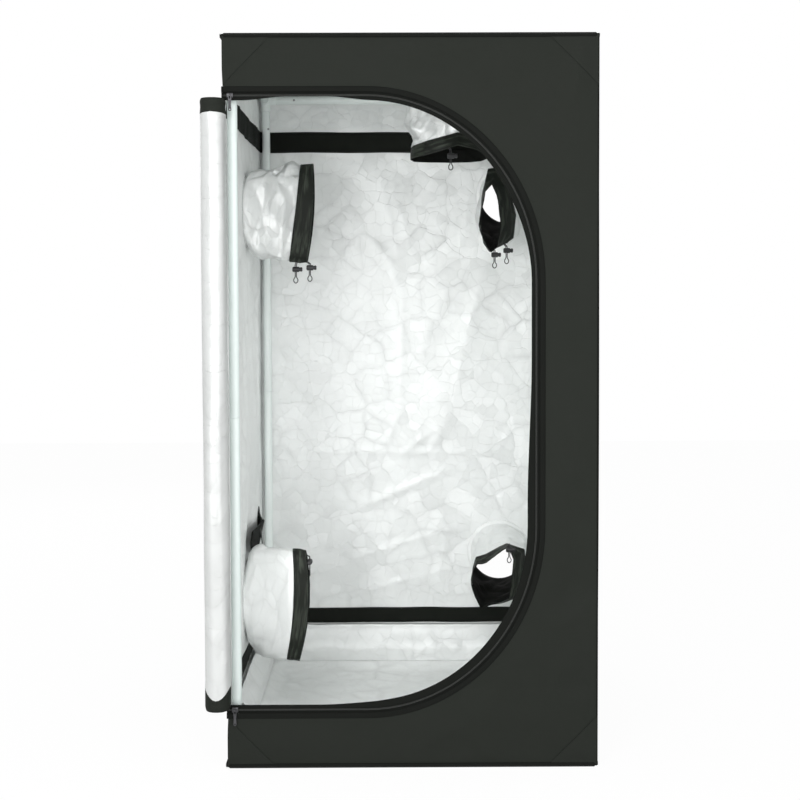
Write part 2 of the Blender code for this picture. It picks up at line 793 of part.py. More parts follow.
def build_sliders():
    slider, pull = slider_mesh(), pull_mesh()
    x = -HALF_WIDTH + SLIDER_FROM_EDGE
    for name, height in (
        ("upper", DOOR_TOP_Z + COIL_FROM_EDGE),
        ("lower", DOOR_BOTTOM_Z - COIL_FROM_EDGE),
    ):
        place(f"zip_slider_{name}", slider, METAL_FINISH, (x, COIL_CREST_Y, height))
        place(f"zip_pull_{name}", pull, METAL_FINISH, (x, COIL_CREST_Y + lug_centre(), height))


# Rolled-up door
def build_door():
    """The door as one sheet: a tail from the hinge line, then a spiral of its turns about the roll."""
    hinge = Vector((-HALF_WIDTH + CLOTH / 2, -HALF_DEPTH + CLOTH / 2))
    centre = Vector((-HALF_WIDTH - ROLL_ASIDE, -HALF_DEPTH - ROLL_OUT))
    outside = ROLL_RADIUS - DOOR_CLOTH / 2
    to_centre = centre - hinge
    spread = math.asin(outside / to_centre.length)
    away = math.atan2(to_centre.y, to_centre.x) + spread
    tangent_length = math.sqrt(to_centre.length**2 - outside**2)
    direction = Vector((math.cos(away), math.sin(away)))
    middle = [hinge + direction * tangent_length * share for share in TAIL_SHARES]
    touch = centre - hinge - direction * tangent_length
    start = math.atan2(-touch.y, -touch.x)
    total = ROLL_TURNS * ROLL_POINTS_A_TURN
    radii = []
    for step in range(total + 1):
        share = step / total
        radius = outside + (ROLL_CORE - outside) * share
        angle = start - 2 * math.pi * ROLL_TURNS * share
        middle.append(centre + radius * Vector((math.cos(angle), math.sin(angle))))
        radii.append(radius)
    half = DOOR_CLOTH / 2
    left, right = [], []
    for index, point in enumerate(middle):
        before = middle[max(index - 1, 0)]
        after = middle[min(index + 1, len(middle) - 1)]
        along = (after - before).normalized()
        across = Vector((-along.y, along.x)) * half
        left.append(tuple(point + across))
        right.append(tuple(point - across))
    low = DOOR_BOTTOM_Z + DOOR_END_GAP
    high = DOOR_TOP_Z - DOOR_END_GAP
    mesh = flat_mesh([left + right[::-1]], high - low, UP_FACING, (low + high) / 2)
    mesh.transform(Matrix.Translation((-hinge.x, -hinge.y, 0)))
    place("door_roll", mesh, FILM_FINISH, (hinge.x, hinge.y, 0))
    report_spiral_gap(radii)


def report_spiral_gap(radii):
    pitch = (radii[0] - radii[-1]) / ROLL_TURNS
    length = sum(2 * math.pi * radius for radius in radii) / len(radii) * ROLL_TURNS
    print(f"door roll: least gap between turns {1000 * (pitch - DOOR_CLOTH):.2f} mm, sheet {length:.3f} m")


# Duct sleeves, each sewn round a port and hanging into the tent
UP = Vector((0, 0, 1))
LEFT_Y = Vector((0, 1, 0))
ACROSS_X = Vector((1, 0, 0))
FROM_LEFT = Vector((1, 0, 0))
FROM_BACK = Vector((0, -1, 0))
FROM_ROOF = Vector((0, 0, -1))
LEFT_PORT_X = -INNER_X
BACK_PORT_Y = INNER_Y
ROOF_PORT_Z = TENT_HEIGHT - CLOTH
UPPER_PORT_DROP = 0.355
UPPER_BACK_PORT_DROP = 0.290
LOWER_PORT_HEIGHT = 0.285
LOWER_BACK_PORT_HEIGHT = 0.320
CABLE_PORT_HEIGHT = 0.430
UPPER_LEFT_PORT_SHARE = 0.066
LOWER_LEFT_PORT_SHARE = -0.007
CABLE_PORT_SHARE = 0.362
ROOF_PORT_X_SHARE = 0.096
ROOF_PORT_Y_SHARE = 0.116
UPPER_BACK_PORT_SHARE = 0.345
LOWER_BACK_PORT_SHARE = 0.313


def cord_lock(name, angle, back_share, out=None, drop=0):
    """A lock's place on its cuff: the angle round it, how far back from the rim, which way it leaves
    and how much lower it hangs."""
    apart = FROM_BACK if out == FROM_LEFT else FROM_LEFT
    return {"name": name, "angle": angle, "back_share": back_share, "out": out, "apart": apart, "drop": drop}


def sleeve(name, wall, port, radius, reach_share, hang_shares, up_share, side_share, locks, film=True):
    """What one sleeve needs. How far its cuff stands off, how it hangs and its cuff's halves are
    shares of the port's radius."""
    inward = {"left": FROM_LEFT, "back": FROM_BACK, "roof": FROM_ROOF}[wall]
    side = LEFT_Y if wall == "left" else ACROSS_X
    rise = UP if wall != "roof" else LEFT_Y
    return {
        "name": name,
        "wall": wall,
        "port": Vector(port),
        "radius": radius,
        "reach": radius * reach_share,
        "hang": Vector(hang_shares) * radius,
        "up_half": radius * up_share,
        "side_half": radius * side_share,
        "inward": inward,
        "side": side,
        "rise": rise,
        "locks": locks,
        "film": film,
    }


SLEEVES = [
    sleeve(
        "sleeve_left_upper",
        "left",
        (LEFT_PORT_X, TENT_DEPTH * UPPER_LEFT_PORT_SHARE, TENT_HEIGHT - UPPER_PORT_DROP),
        UPPER_SIDE_PORT_RADIUS,
        reach_share=2.0625,
        hang_shares=(0, 0.5, -0.1),
        up_share=1.525,
        side_share=0.225,
        locks=[cord_lock("left_upper", -90, 0.25)],
    ),
    sleeve(
        "sleeve_left_lower",
        "left",
        (LEFT_PORT_X, TENT_DEPTH * LOWER_LEFT_PORT_SHARE, LOWER_PORT_HEIGHT),
        LOWER_SIDE_PORT_RADIUS,
        reach_share=1.8675,
        hang_shares=(0, -1.1446, -0.0241),
        up_share=1.5181,
        side_share=0.2169,
        locks=[cord_lock("left_lower", 90, 0.1, FROM_LEFT)],
    ),
    sleeve(
        "sleeve_roof",
        "roof",
        (TENT_WIDTH * ROOF_PORT_X_SHARE, TENT_DEPTH * ROOF_PORT_Y_SHARE, ROOF_PORT_Z),
        ROOF_PORT_RADIUS,
        reach_share=3.0933,
        hang_shares=(0.0533, -0.1333, 0),
        up_share=0.9333,
        side_share=1.04,
        locks=[cord_lock("roof", -72, 0.7, FROM_BACK)],
    ),
    sleeve(
        "sleeve_back_upper",
        "back",
        (TENT_WIDTH * UPPER_BACK_PORT_SHARE, BACK_PORT_Y, TENT_HEIGHT - UPPER_BACK_PORT_DROP),
        UPPER_BACK_PORT_RADIUS,
        reach_share=2.6282,
        hang_shares=(-0.7308, 0, -0.7949),
        up_share=1.3077,
        side_share=0.5897,
        locks=[
            cord_lock("back_upper_left", -90, 0.25),
            cord_lock("back_upper_right", -54, 0.5, drop=SIDE_LOCK_DROP),
        ],
    ),
    sleeve(
        "sleeve_back_lower",
        "back",
        (TENT_WIDTH * LOWER_BACK_PORT_SHARE, BACK_PORT_Y, LOWER_BACK_PORT_HEIGHT),
        LOWER_BACK_PORT_RADIUS,
        reach_share=2.013,
        hang_shares=(-0.1039, 0, -0.3896),
        up_share=1.0649,
        side_share=0.961,
        locks=[cord_lock("back_lower", 72, 0.1, FROM_BACK)],
    ),
    sleeve(
        "cable_sleeve",
        "left",
        (LEFT_PORT_X, TENT_DEPTH * CABLE_PORT_SHARE, CABLE_PORT_HEIGHT),
        CABLE_PORT_RADIUS,
        reach_share=1.9231,
        hang_shares=(0, -0.2308, -1.5385),
        up_share=1.1538,
        side_share=0.4615,
        locks=[],
        film=False,
    ),
]


def sleeve_centre(item, share, depth):
    """The sleeve's middle at a share of its length: it hangs away from its port more and more."""
    return item["inward"] * depth + item["hang"] * share * share


def sleeve_point(item, share, depth, outset, angle):
    """A point of the sleeve, which goes from the port's circle to the cuff's flat oval, with soft folds."""
    soft = share * share * (3 - 2 * share)
    up_half = item["radius"] + (item["up_half"] - item["radius"]) * soft
    side_half = item["radius"] + (item["side_half"] - item["radius"]) * soft
    fold = FOLD_DEPTH * item["side_half"] / item["radius"] * math.sin(math.pi * share) ** 2
    wave = fold * math.cos(FOLD_COUNT * angle + math.pi * share)
    side = (side_half + wave + outset) * math.cos(angle)
    rise = (up_half + wave + outset) * math.sin(angle)
    return sleeve_centre(item, share, depth) + item["side"] * side + item["rise"] * rise


def sleeve_ring(item, share, depth, outset):
    turn = 2 * math.pi / SLEEVE_SIDES
    return [sleeve_point(item, share, depth, outset, turn * step) for step in range(SLEEVE_SIDES)]


def cuff_start(item):
    """The share of the sleeve's length, and the depth, at which its cuff starts."""
    start = GAP + SLEEVE_WALL
    length = item["reach"] - start
    share = 1 - min(CUFF_LENGTH, length / 2) / length
    return share, start + length * share


def sleeve_shell(item):
    """A closed cloth wall: a sewn flange, the tube, the folded cuff, and back along the inside."""
    start = GAP + SLEEVE_WALL
    cuff_share, cuff_depth = cuff_start(item)
    tube = [
        (cuff_share * step / TUBE_RINGS, start + (cuff_depth - start) * step / TUBE_RINGS)
        for step in range(TUBE_RINGS + 1)
    ]
    rings = [
        sleeve_ring(item, 0, GAP, SLEEVE_FLANGE),
        sleeve_ring(item, 0, start, SLEEVE_FLANGE),
    ]
    rings += [sleeve_ring(item, share, depth, 0) for share, depth in tube]
    rings.append(sleeve_ring(item, cuff_share, cuff_depth + GAP, CUFF_PROUD))
    rings.append(sleeve_ring(item, 1, item["reach"], CUFF_PROUD))
    rings.append(sleeve_ring(item, 1, item["reach"], -SLEEVE_WALL))
    rings += [sleeve_ring(item, share, depth, -SLEEVE_WALL) for share, depth in reversed(tube)]
    rings.append(sleeve_ring(item, 0, GAP, -SLEEVE_WALL))
    return lofted(rings)


def lofted(rings):
    """A ring-shaped skin through the rings, the last joined to the first."""
    work = bmesh.new()
    loops = [[work.verts.new(point) for point in ring] for ring in rings]
    for first, second in zip(loops, loops[1:] + loops[:1]):
        for index in range(len(first)):
            following = (index + 1) % len(first)
            work.faces.new((first[index], first[following], second[following], second[index]))
    bmesh.ops.triangulate(work, faces=work.faces)
    bmesh.ops.recalc_face_normals(work, faces=work.faces)
    mesh = bpy.data.meshes.new("loft")
    work.to_mesh(mesh)
    work.free()
    return mesh


def lock_spot(item, lock):
    """Where a drawstring leaves the cuff: the middle of its wall, about the port's centre."""
    angle = math.radians(lock["angle"])
    middle = (CUFF_PROUD - SLEEVE_WALL) / 2
    share, depth = cuff_start(item)
    root = sleeve_point(item, share, depth, middle, angle)
    rim = sleeve_point(item, 1, item["reach"], middle, angle)
    return rim.lerp(root, lock["back_share"])


def strand_route(item, lock):
    """One strand's middle line, from inside the cuff's hem down through the lock to its foot."""
    spot = lock_spot(item, lock)
    straight = LOCK_FROM_CUFF + 2 * LOCK_RADIUS + LOCK_SLIDE
    if lock["out"] is None:
        top = spot - UP * (CUFF_PROUD + CORD_RADIUS + lock["drop"])
        return [spot, top, top - UP * straight / 2, top - UP * straight]
    stand_off = LOCK_RADIUS + LOCK_STAND_OFF
    out = lock["out"]
    near, far = (stand_off * share for share in LEAD_OUT_SHARES)
    sag, fall = (stand_off * share for share in LEAD_DROP_SHARES)
    top = spot + out * stand_off - UP * fall
    bend = [spot, spot + out * near, spot + out * far - UP * sag]
    return [*bend, top, top - UP * straight / 2, top - UP * straight]


def lock_top(item, lock):
    """The point on the drawstring just above its lock."""
    return strand_route(item, lock)[-3]


def smooth_route(points, spacing):
    """A Catmull-Rom curve through the points, read about every spacing."""
    ends = [2 * points[0] - points[1], *points, 2 * points[-1] - points[-2]]
    route = [points[0]]
    for a, b, c, d in zip(ends, ends[1:], ends[2:], ends[3:]):
        steps = max(1, round((c - b).length / spacing))
        for step in range(1, steps + 1):
            t = step / steps
            route.append(
                (2 * b + (c - a) * t + (2 * a - 5 * b + 4 * c - d) * t**2 + (3 * b - a - 3 * c + d) * t**3) / 2
            )
    return route


def cord_mesh(item, lock):
    """A drawstring: down one strand, round its loop and up the other."""
    strand = strand_route(item, lock)
    apart = lock["apart"] * CORD_SPACING / 2
    loop = lock["apart"] * CORD_LOOP_RADIUS
    foot = strand[-1]
    drop = UP * CORD_LOOP_RADIUS
    bulb = [foot + loop * across - drop * down for across, down in BULB_SHARES]
    down = [point - apart for point in strand]
    upwards = [point + apart for point in reversed(strand)]
    route = smooth_route(down + bulb + upwards, CORD_RADIUS * CORD_STEP_SHARE)
    curve = bpy.data.curves.new("drawstring", "CURVE")
    curve.dimensions = "3D"
    curve.bevel_depth = CORD_RADIUS
    curve.bevel_resolution = 2
    curve.use_fill_caps = True
    spline = curve.splines.new("POLY")
    spline.points.add(len(route) - 1)
    for point, spot in zip(spline.points, route):
        point.co = (*spot, 1)
    return baked(helper("drawstring", curve))


def build_sleeves():
    for item in SLEEVES:
        mesh = sleeve_shell(item)
        cords = [cord_mesh(item, lock) for lock in item["locks"]]
        if cords:
            mesh = combined(mesh, cords, "UNION")
        finish = FILM_FINISH if item["film"] else CLOTH_FINISH
        place(item["name"], mesh, finish, item["port"])


# Cord locks: a barrel with a sprung plunger, whose holes the doubled cord passes through
def strand_slot(travel):
    """An upright cutter for both strands, which lie side by side along the plunger, and for its travel."""
    half_across = CORD_RADIUS + GAP
    half_along = CORD_SPACING / 2 + half_across
    reach = LOCK_RADIUS * 2
    return box_mesh((-half_along, -half_across, -reach), (half_along + travel, half_across, reach))


def barrel_mesh():
    half = LOCK_LENGTH / 2
    bore = PLUNGER_RADIUS + GAP
    floor = -half + LOCK_RADIUS * BARREL_FOOT_SHARE
    body = turned(
        [
            (bore, half),
            (LOCK_RADIUS * BARREL_RIM_SHARE, half),
            (LOCK_RADIUS, half - LOCK_RADIUS * BARREL_RIM_DEPTH_SHARE),
            (LOCK_RADIUS, floor),
            (LOCK_RADIUS * BARREL_FACE_SHARE, -half),
            (0, -half),
            (0, floor),
            (bore, floor),
        ],
        LOCK_SIDES,
    )
    body.transform(Matrix.Rotation(math.pi / 2, 4, "Y"))
    return combined(body, [strand_slot(0)], "DIFFERENCE")


def plunger_mesh():
    """The plunger about the barrel's middle, with its head out and room in its hole for its travel."""
    half = LOCK_LENGTH / 2
    start = -half + LOCK_RADIUS * BARREL_FOOT_SHARE + PLUNGER_TRAVEL + GAP
    head = half + PLUNGER_TRAVEL + GAP
    end = head + PLUNGER_HEAD_LENGTH
    body = turned(
        [
            (0, end),
            (PLUNGER_HEAD_RADIUS * PLUNGER_FACE_SHARE, end),
            (PLUNGER_HEAD_RADIUS, end - PLUNGER_HEAD_LENGTH * PLUNGER_EDGE_SHARE),
            (PLUNGER_HEAD_RADIUS, head),
            (PLUNGER_RADIUS, head),
            (PLUNGER_RADIUS, start),
            (0, start),
        ],
        LOCK_SIDES,
    )
    body.transform(Matrix.Rotation(math.pi / 2, 4, "Y"))
    return combined(body, [strand_slot(PLUNGER_TRAVEL)], "DIFFERENCE")


def build_locks():
    barrel, plunger = barrel_mesh(), plunger_mesh()
    for item in SLEEVES:
        for lock in item["locks"]:
            spot = item["port"] + lock_top(item, lock) - UP * (LOCK_FROM_CUFF + LOCK_RADIUS)
            turn = axes(lock["apart"], UP.cross(lock["apart"]), UP)
            place(f"cord_lock_{lock['name']}", barrel, PLASTIC_FINISH, spot, turn)
            place(f"lock_button_{lock['name']}", plunger, PLASTIC_FINISH, spot, turn)


build_frame()
build_bars()
build_front_panel()
build_walls()
build_roof_and_floor()
build_bands()
build_tray()
build_zip()
build_sliders()
build_door()
build_sleeves()
build_locks()
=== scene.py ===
"""Looks of an indoor grow tent: steel tube frame, black cloth shell with a crumpled silver lining,
rolled-up door, zip, tray, duct sleeves and their cord locks."""

import math

import bmesh
import bpy
from mathutils import Matrix, Vector, kdtree, noise


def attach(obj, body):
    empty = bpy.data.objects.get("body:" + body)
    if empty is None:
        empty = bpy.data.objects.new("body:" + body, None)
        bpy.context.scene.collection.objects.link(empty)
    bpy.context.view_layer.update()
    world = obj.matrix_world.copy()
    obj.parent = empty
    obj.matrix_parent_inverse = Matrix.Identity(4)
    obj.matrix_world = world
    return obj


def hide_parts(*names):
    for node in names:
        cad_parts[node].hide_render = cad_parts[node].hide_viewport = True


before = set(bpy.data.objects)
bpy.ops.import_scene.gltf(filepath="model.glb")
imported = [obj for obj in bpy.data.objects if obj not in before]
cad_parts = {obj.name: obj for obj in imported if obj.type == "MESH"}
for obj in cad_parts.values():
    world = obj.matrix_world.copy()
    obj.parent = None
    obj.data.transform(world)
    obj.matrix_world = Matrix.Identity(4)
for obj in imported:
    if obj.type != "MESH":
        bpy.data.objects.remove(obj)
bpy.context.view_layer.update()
scene = bpy.context.scene

# Sizes of the tent, as its solids have them
HALF = 0.406
HEIGHT = 1.600
CLOTH = 0.0015
INNER = HALF - CLOTH
TUBE_RADIUS = 0.011
TUBE_WALL = 0.0012
POST = 0.3855
LOW_RAIL_Z = 0.0318
HIGH_RAIL_Z = 1.5682
ARM = 0.030
ARM_RADIUS = 0.0128
SNAP_FROM_CORNER = 0.078
POST_JOINT_Z = 0.7696
DOOR_TOP = 1.457
DOOR_BOTTOM = 0.139
DOOR_RIGHT = 0.263
ARC_WIDTH = 0.359253
ARC_HEIGHT = 0.391446
TAPE_WIDTH = 0.017
COIL_OUTSET = 0.0095
UPPER_BAND = (1.4275, 1.4840)
LOWER_BAND = (0.1200, 0.1620)
TRAY_HALF = POST - ARM_RADIUS - 0.0003
TRAY_TOP = 0.117
MERGE = 0.00001
GAP = 0.0003
SNAP_HOLE = 0.0036
SPIGOT = 0.092
CLOTH_FOOT = 0.0018
CLOTH_RISE = 1.5964
WALL_FLAT = (0.812, 1.596)
LID_HALF = HALF + 0.0012
LID_FLAT = (0.816, 0.816)
CORNERS = [(-1, -1, "front_left"), (-1, 1, "back_left"), (1, -1, "front_right"), (1, 1, "back_right")]

X, Y, Z = Vector((1, 0, 0)), Vector((0, 1, 0)), Vector((0, 0, 1))
UPRIGHT_FRONT = Matrix(((1, 0, 0), (0, 0, -1), (0, 1, 0))).to_4x4()


# Shader node groups
def group(name, inputs, outputs):
    tree = bpy.data.node_groups.new(name, "ShaderNodeTree")
    for label, value in inputs:
        kind = "NodeSocketVector" if value is None else "NodeSocketFloat"
        socket = tree.interface.new_socket(label, in_out="INPUT", socket_type=kind)
        if value is not None:
            socket.default_value = value
    for label in outputs:
        tree.interface.new_socket(label, in_out="OUTPUT", socket_type="NodeSocketFloat")
    return tree, tree.nodes.new("NodeGroupInput"), tree.nodes.new("NodeGroupOutput")


def maths(tree, operation, *values):
    made = tree.nodes.new("ShaderNodeMath")
    made.operation = operation
    for socket, value in zip(made.inputs, values):
        if isinstance(value, (int, float)):
            socket.default_value = value
        else:
            tree.links.new(value, socket)
    return made.outputs[0]


def scaled(tree, vector, factor):
    made = tree.nodes.new("ShaderNodeVectorMath")
    made.operation = "SCALE"
    tree.links.new(vector, made.inputs[0])
    if isinstance(factor, (int, float)):
        made.inputs["Scale"].default_value = factor
    else:
        tree.links.new(factor, made.inputs["Scale"])
    return made.outputs[0]


def vector_maths(tree, operation, first, second):
    made = tree.nodes.new("ShaderNodeVectorMath")
    made.operation = operation
    for socket, value in zip(made.inputs, (first, second)):
        if isinstance(value, tuple):
            socket.default_value = value
        else:
            tree.links.new(value, socket)
    return made.outputs["Value" if operation == "DOT_PRODUCT" else "Vector"]


def noisy(tree, vector, scale, detail=3.0, rough=0.5, output="Fac"):
    made = tree.nodes.new("ShaderNodeTexNoise")
    tree.links.new(vector, made.inputs["Vector"])
    for label, value in (("Scale", scale), ("Detail", detail), ("Roughness", rough)):
        made.inputs[label].default_value = value
    return made.outputs[output]


def ripples(tree, place):
    """Waves from 0 to 1 across and along, one to each unit."""
    split = tree.nodes.new("ShaderNodeSeparateXYZ")
    tree.links.new(place, split.inputs[0])
    turns = [maths(tree, "MULTIPLY", split.outputs[axis], math.pi) for axis in (0, 1)]
    return [maths(tree, "ABSOLUTE", maths(tree, "SINE", turn)) for turn in turns]


def cells(tree, place, scale, feature):
    made = tree.nodes.new("ShaderNodeTexVoronoi")
    made.voronoi_dimensions = "2D"
    made.feature = feature
    tree.links.new(place, made.inputs["Vector"])
    made.inputs["Scale"].default_value = scale
    return made.outputs


def woven_threads():
    """Over-and-under threads: a height, and a painted shade that is darker between the threads."""
    tree, start, end = group("woven threads", [("Place", None), ("Pitch", 0.0008)], ["Height", "Shade"])
    place = scaled(tree, start.outputs["Place"], maths(tree, "DIVIDE", 1.0, start.outputs["Pitch"]))
    across, along = ripples(tree, place)
    checker = tree.nodes.new("ShaderNodeTexChecker")
    tree.links.new(place, checker.inputs["Vector"])
    checker.inputs["Scale"].default_value = 1.0
    over = maths(tree, "MULTIPLY", across, checker.outputs["Fac"])
    under = maths(tree, "MULTIPLY", along, maths(tree, "SUBTRACT", 1.0, checker.outputs["Fac"]))
    height = maths(tree, "ADD", over, under)
    tree.links.new(height, end.inputs["Height"])
    tree.links.new(maths(tree, "MULTIPLY_ADD", height, 0.3, 0.7), end.inputs["Shade"])
    return tree


def film_facets():
    """The film's small pressed diamonds, and the creases and tilted facets over them."""
    results = ["Height", "Creases", "Tilt", "Tone"]
    tree, start, end = group("film facets", [("Place", None), ("Pitch", 0.0035)], results)
    place = start.outputs["Place"]
    turn = tree.nodes.new("ShaderNodeMapping")
    turn.inputs["Rotation"].default_value = (0, 0, math.radians(45))
    tree.links.new(place, turn.inputs["Vector"])
    grid = scaled(tree, turn.outputs[0], maths(tree, "DIVIDE", 1.0, start.outputs["Pitch"]))
    tree.links.new(maths(tree, "MINIMUM", *ripples(tree, grid)), end.inputs["Height"])
    cracks, tilts = [], []
    for scale in (13.0, 34.0):
        wander = noisy(tree, place, scale, 2.0, output="Color")
        bend = vector_maths(tree, "ADD", place, scaled(tree, wander, 0.6 / scale))
        edge = cells(tree, bend, scale, "DISTANCE_TO_EDGE")["Distance"]
        facet = cells(tree, bend, scale, "F1")
        depth = maths(tree, "MINIMUM", maths(tree, "MULTIPLY", edge, 6.0), 1.0)
        shown = maths(tree, "SUBTRACT", noisy(tree, place, scale * 0.35, 1.0), 0.42)
        shown = maths(tree, "MINIMUM", maths(tree, "MULTIPLY", shown, 4.0), 1.0)
        shown = maths(tree, "MAXIMUM", shown, 0.0)
        crack = maths(tree, "MULTIPLY", maths(tree, "SUBTRACT", 1.0, depth), shown)
        cracks.append(maths(tree, "SUBTRACT", 1.0, crack))
        away = vector_maths(tree, "SUBTRACT", bend, facet["Position"])
        lean = vector_maths(tree, "SUBTRACT", facet["Color"], (0.5, 0.5, 0.5))
        tilts.append(vector_maths(tree, "DOT_PRODUCT", away, lean))
    tree.links.new(maths(tree, "MULTIPLY_ADD", cracks[1], 0.4, cracks[0]), end.inputs["Creases"])
    tree.links.new(maths(tree, "ADD", *tilts), end.inputs["Tilt"])
    tree.links.new(noisy(tree, place, 5.0, 4.0, 0.6), end.inputs["Tone"])
    return tree


def soft_wear():
    """Broad uneven tone and specks of dust."""
    tree, start, end = group("soft wear", [("Place", None), ("Scale", 6.0)], ["Tone", "Dust"])
    place = scaled(tree, start.outputs["Place"], start.outputs["Scale"])
    tree.links.new(noisy(tree, place, 1.0, 4.0, 0.55), end.inputs["Tone"])
    specks = noisy(tree, place, 40.0, 2.0, 0.7)
    tree.links.new(maths(tree, "GREATER_THAN", specks, 0.74), end.inputs["Dust"])
    return tree


THREADS, FACETS, WEAR = woven_threads(), film_facets(), soft_wear()


# Materials
class Finish:
    """A material with its shader and the few links that every finish needs."""

    def __init__(self, name, colour, roughness, metallic=0.0, specular=0.5):
        self.material = bpy.data.materials.new(name)
        self.material.use_nodes = True
        self.tree = self.material.node_tree
        self.shader = self.tree.nodes["Principled BSDF"]
        self.shader.inputs["Base Color"].default_value = (*colour, 1)
        self.shader.inputs["Roughness"].default_value = roughness
        self.shader.inputs["Metallic"].default_value = metallic
        self.shader.inputs["Specular IOR Level"].default_value = specular
        self.bumped = self.tinted = None

    def place(self, kind="UV"):
        return self.tree.nodes.new("ShaderNodeTexCoord").outputs[kind]

    def use(self, tree, place, **values):
        made = self.tree.nodes.new("ShaderNodeGroup")
        made.node_tree = tree
        self.tree.links.new(place, made.inputs["Place"])
        for label, value in values.items():
            made.inputs[label].default_value = value
        return made.outputs

    def bump(self, height, strength, distance):
        made = self.tree.nodes.new("ShaderNodeBump")
        made.inputs["Strength"].default_value = strength
        made.inputs["Distance"].default_value = distance
        self.tree.links.new(height, made.inputs["Height"])
        if self.bumped is not None:
            self.tree.links.new(self.bumped, made.inputs["Normal"])
        self.bumped = made.outputs["Normal"]
        self.tree.links.new(self.bumped, self.shader.inputs["Normal"])

    def tint(self, factor, low, high):
        """Base colour from low, or from what it is so far, to high as factor goes from 0 to 1."""
        ramp = self.tree.nodes.new("ShaderNodeMix")
        ramp.data_type = "RGBA"
        self.tree.links.new(factor, ramp.inputs["Factor"])
        if low is None:
            self.tree.links.new(self.tinted, ramp.inputs[6])
        else:
            ramp.inputs[6].default_value = (*low, 1)
        ramp.inputs[7].default_value = (*high, 1)
        self.tinted = ramp.outputs[2]
        self.tree.links.new(self.tinted, self.shader.inputs["Base Color"])

    def roughen(self, factor, low, high):
        spread = maths(self.tree, "MULTIPLY_ADD", factor, high - low, low)
        self.tree.links.new(spread, self.shader.inputs["Roughness"])


def shade(colour, factor):
    return tuple(channel * factor for channel in colour)


def cloth_finish(name, colour, pitch, rough=0.72, painted_sheen=0.0):
    made = Finish(name, colour, rough, specular=0.15)
    tree, place = made.tree, made.place()
    threads = made.use(THREADS, place, Pitch=pitch)
    wear = made.use(WEAR, place, Scale=6.0)
    worn = maths(tree, "MULTIPLY_ADD", wear["Tone"], 0.5, 0.75)
    # Base colour: painted shade between the threads, times the cloth's own uneven tone
    made.tint(maths(tree, "MULTIPLY", threads["Shade"], worn), shade(colour, 0.55), shade(colour, 1.45))
    # Painted sheen: lighter streaks in the base colour stand in for light caught along the gathered cloth
    if painted_sheen:
        stretch = tree.nodes.new("ShaderNodeMapping")
        stretch.inputs["Scale"].default_value = (11, 75, 1)
        tree.links.new(place, stretch.inputs["Vector"])
        painted_sheen_streaks = maths(tree, "SUBTRACT", noisy(tree, stretch.outputs[0], 1.0, 3.0, 0.6), 0.48)
        painted_sheen_streaks = maths(tree, "MULTIPLY", maths(tree, "MAXIMUM", painted_sheen_streaks, 0.0), painted_sheen)
        made.tint(painted_sheen_streaks, None, shade(colour, 5.0))
    made.roughen(wear["Tone"], rough - 0.1, rough + 0.12)
    made.bump(noisy(tree, place, 3.6, 2.0), 0.6, 0.035)
    made.bump(noisy(tree, place, 9.0, 4.0, 0.55), 0.4, 0.006)
    made.bump(threads["Height"], 0.35, 0.00025)
    return made.material


def film_finish(name, colour, metallic, crease, rough, tilt, dark=0.9):
    made = Finish(name, colour, rough, metallic)
    film = made.use(FACETS, made.place(), Pitch=0.0035)
    # Base colour: the film's own uneven tone, and painted shade darker along its creases
    tone = maths(made.tree, "MULTIPLY", film["Tone"], film["Creases"])
    made.tint(tone, shade(colour, dark), shade(colour, 1.04))
    made.roughen(film["Tone"], rough - 0.08, rough + 0.1)
    made.bump(film["Tilt"], 1.0, tilt)
    made.bump(film["Creases"], crease, 0.0012)
    made.bump(film["Height"], 0.16, 0.0004)
    return made.material


# The wear's scale, its tones, the change of roughness, the grain's scale and detail, its strength and depth
PLASTIC_LOOK = (40.0, (0.8, 1.4), (-0.06, 0.12), (1500.0, 2.0), (0.1, 0.0002))
METAL_LOOK = (60.0, (0.7, 1.5), (-0.1, 0.12), (700.0, 3.0), (0.08, 0.0002))
PAINT_LOOK = (9.0, (0.97, 1.03), (-0.04, 0.1), (900.0, 2.0), (0.12, 0.0003))


def hard_finish(name, colour, rough, look, metallic=0.0, coat=0.0):
    """Painted steel, plastic or bare metal: an uneven tone and a fine grain."""
    made = Finish(name, colour, rough, metallic)
    place = made.place("Object")
    scale, tones, changes, grain, bump = look
    tone = made.use(WEAR, place, Scale=scale)["Tone"]
    made.tint(tone, *(shade(colour, factor) for factor in tones))
    made.roughen(tone, *(rough + change for change in changes))
    made.bump(noisy(made.tree, place, *grain), *bump)
    made.shader.inputs["Coat Weight"].default_value = coat
    return made.material


def cord_finish():
    made = Finish("black braided cord", (0.02, 0.02, 0.021), 0.6)
    place = made.place("Object")
    wave = made.tree.nodes.new("ShaderNodeTexWave")
    wave.bands_direction = "DIAGONAL"
    wave.inputs["Scale"].default_value = 420.0
    wave.inputs["Distortion"].default_value = 0.6
    made.tree.links.new(place, wave.inputs["Vector"])
    made.tint(wave.outputs["Fac"], (0.012, 0.012, 0.013), (0.045, 0.045, 0.047))
    made.bump(wave.outputs["Fac"], 0.6, 0.0003)
    return made.material


BLACK = (0.0084, 0.0099, 0.0078)
SILVER = (0.91, 0.93, 0.92)
CLOTH_OUT = cloth_finish("black oxford cloth", BLACK, 0.0009)
# The binding's dark colour is its own; inside the sleeves it stands as painted shade
CLOTH_BIND_AND_SLEEVE_SHADE = cloth_finish("black seam binding and painted sleeve shade", shade(BLACK, 0.4), 0.0006, 0.85)
CLOTH_BAND = cloth_finish("black woven band", shade(BLACK, 0.85), 0.0013, 0.85)
# The cuff cloth carries painted sheen streaks in its colour
CLOTH_CUFF = cloth_finish("black cuff cloth", shade(BLACK, 1.1), 0.0008, 0.5, painted_sheen=7.0)
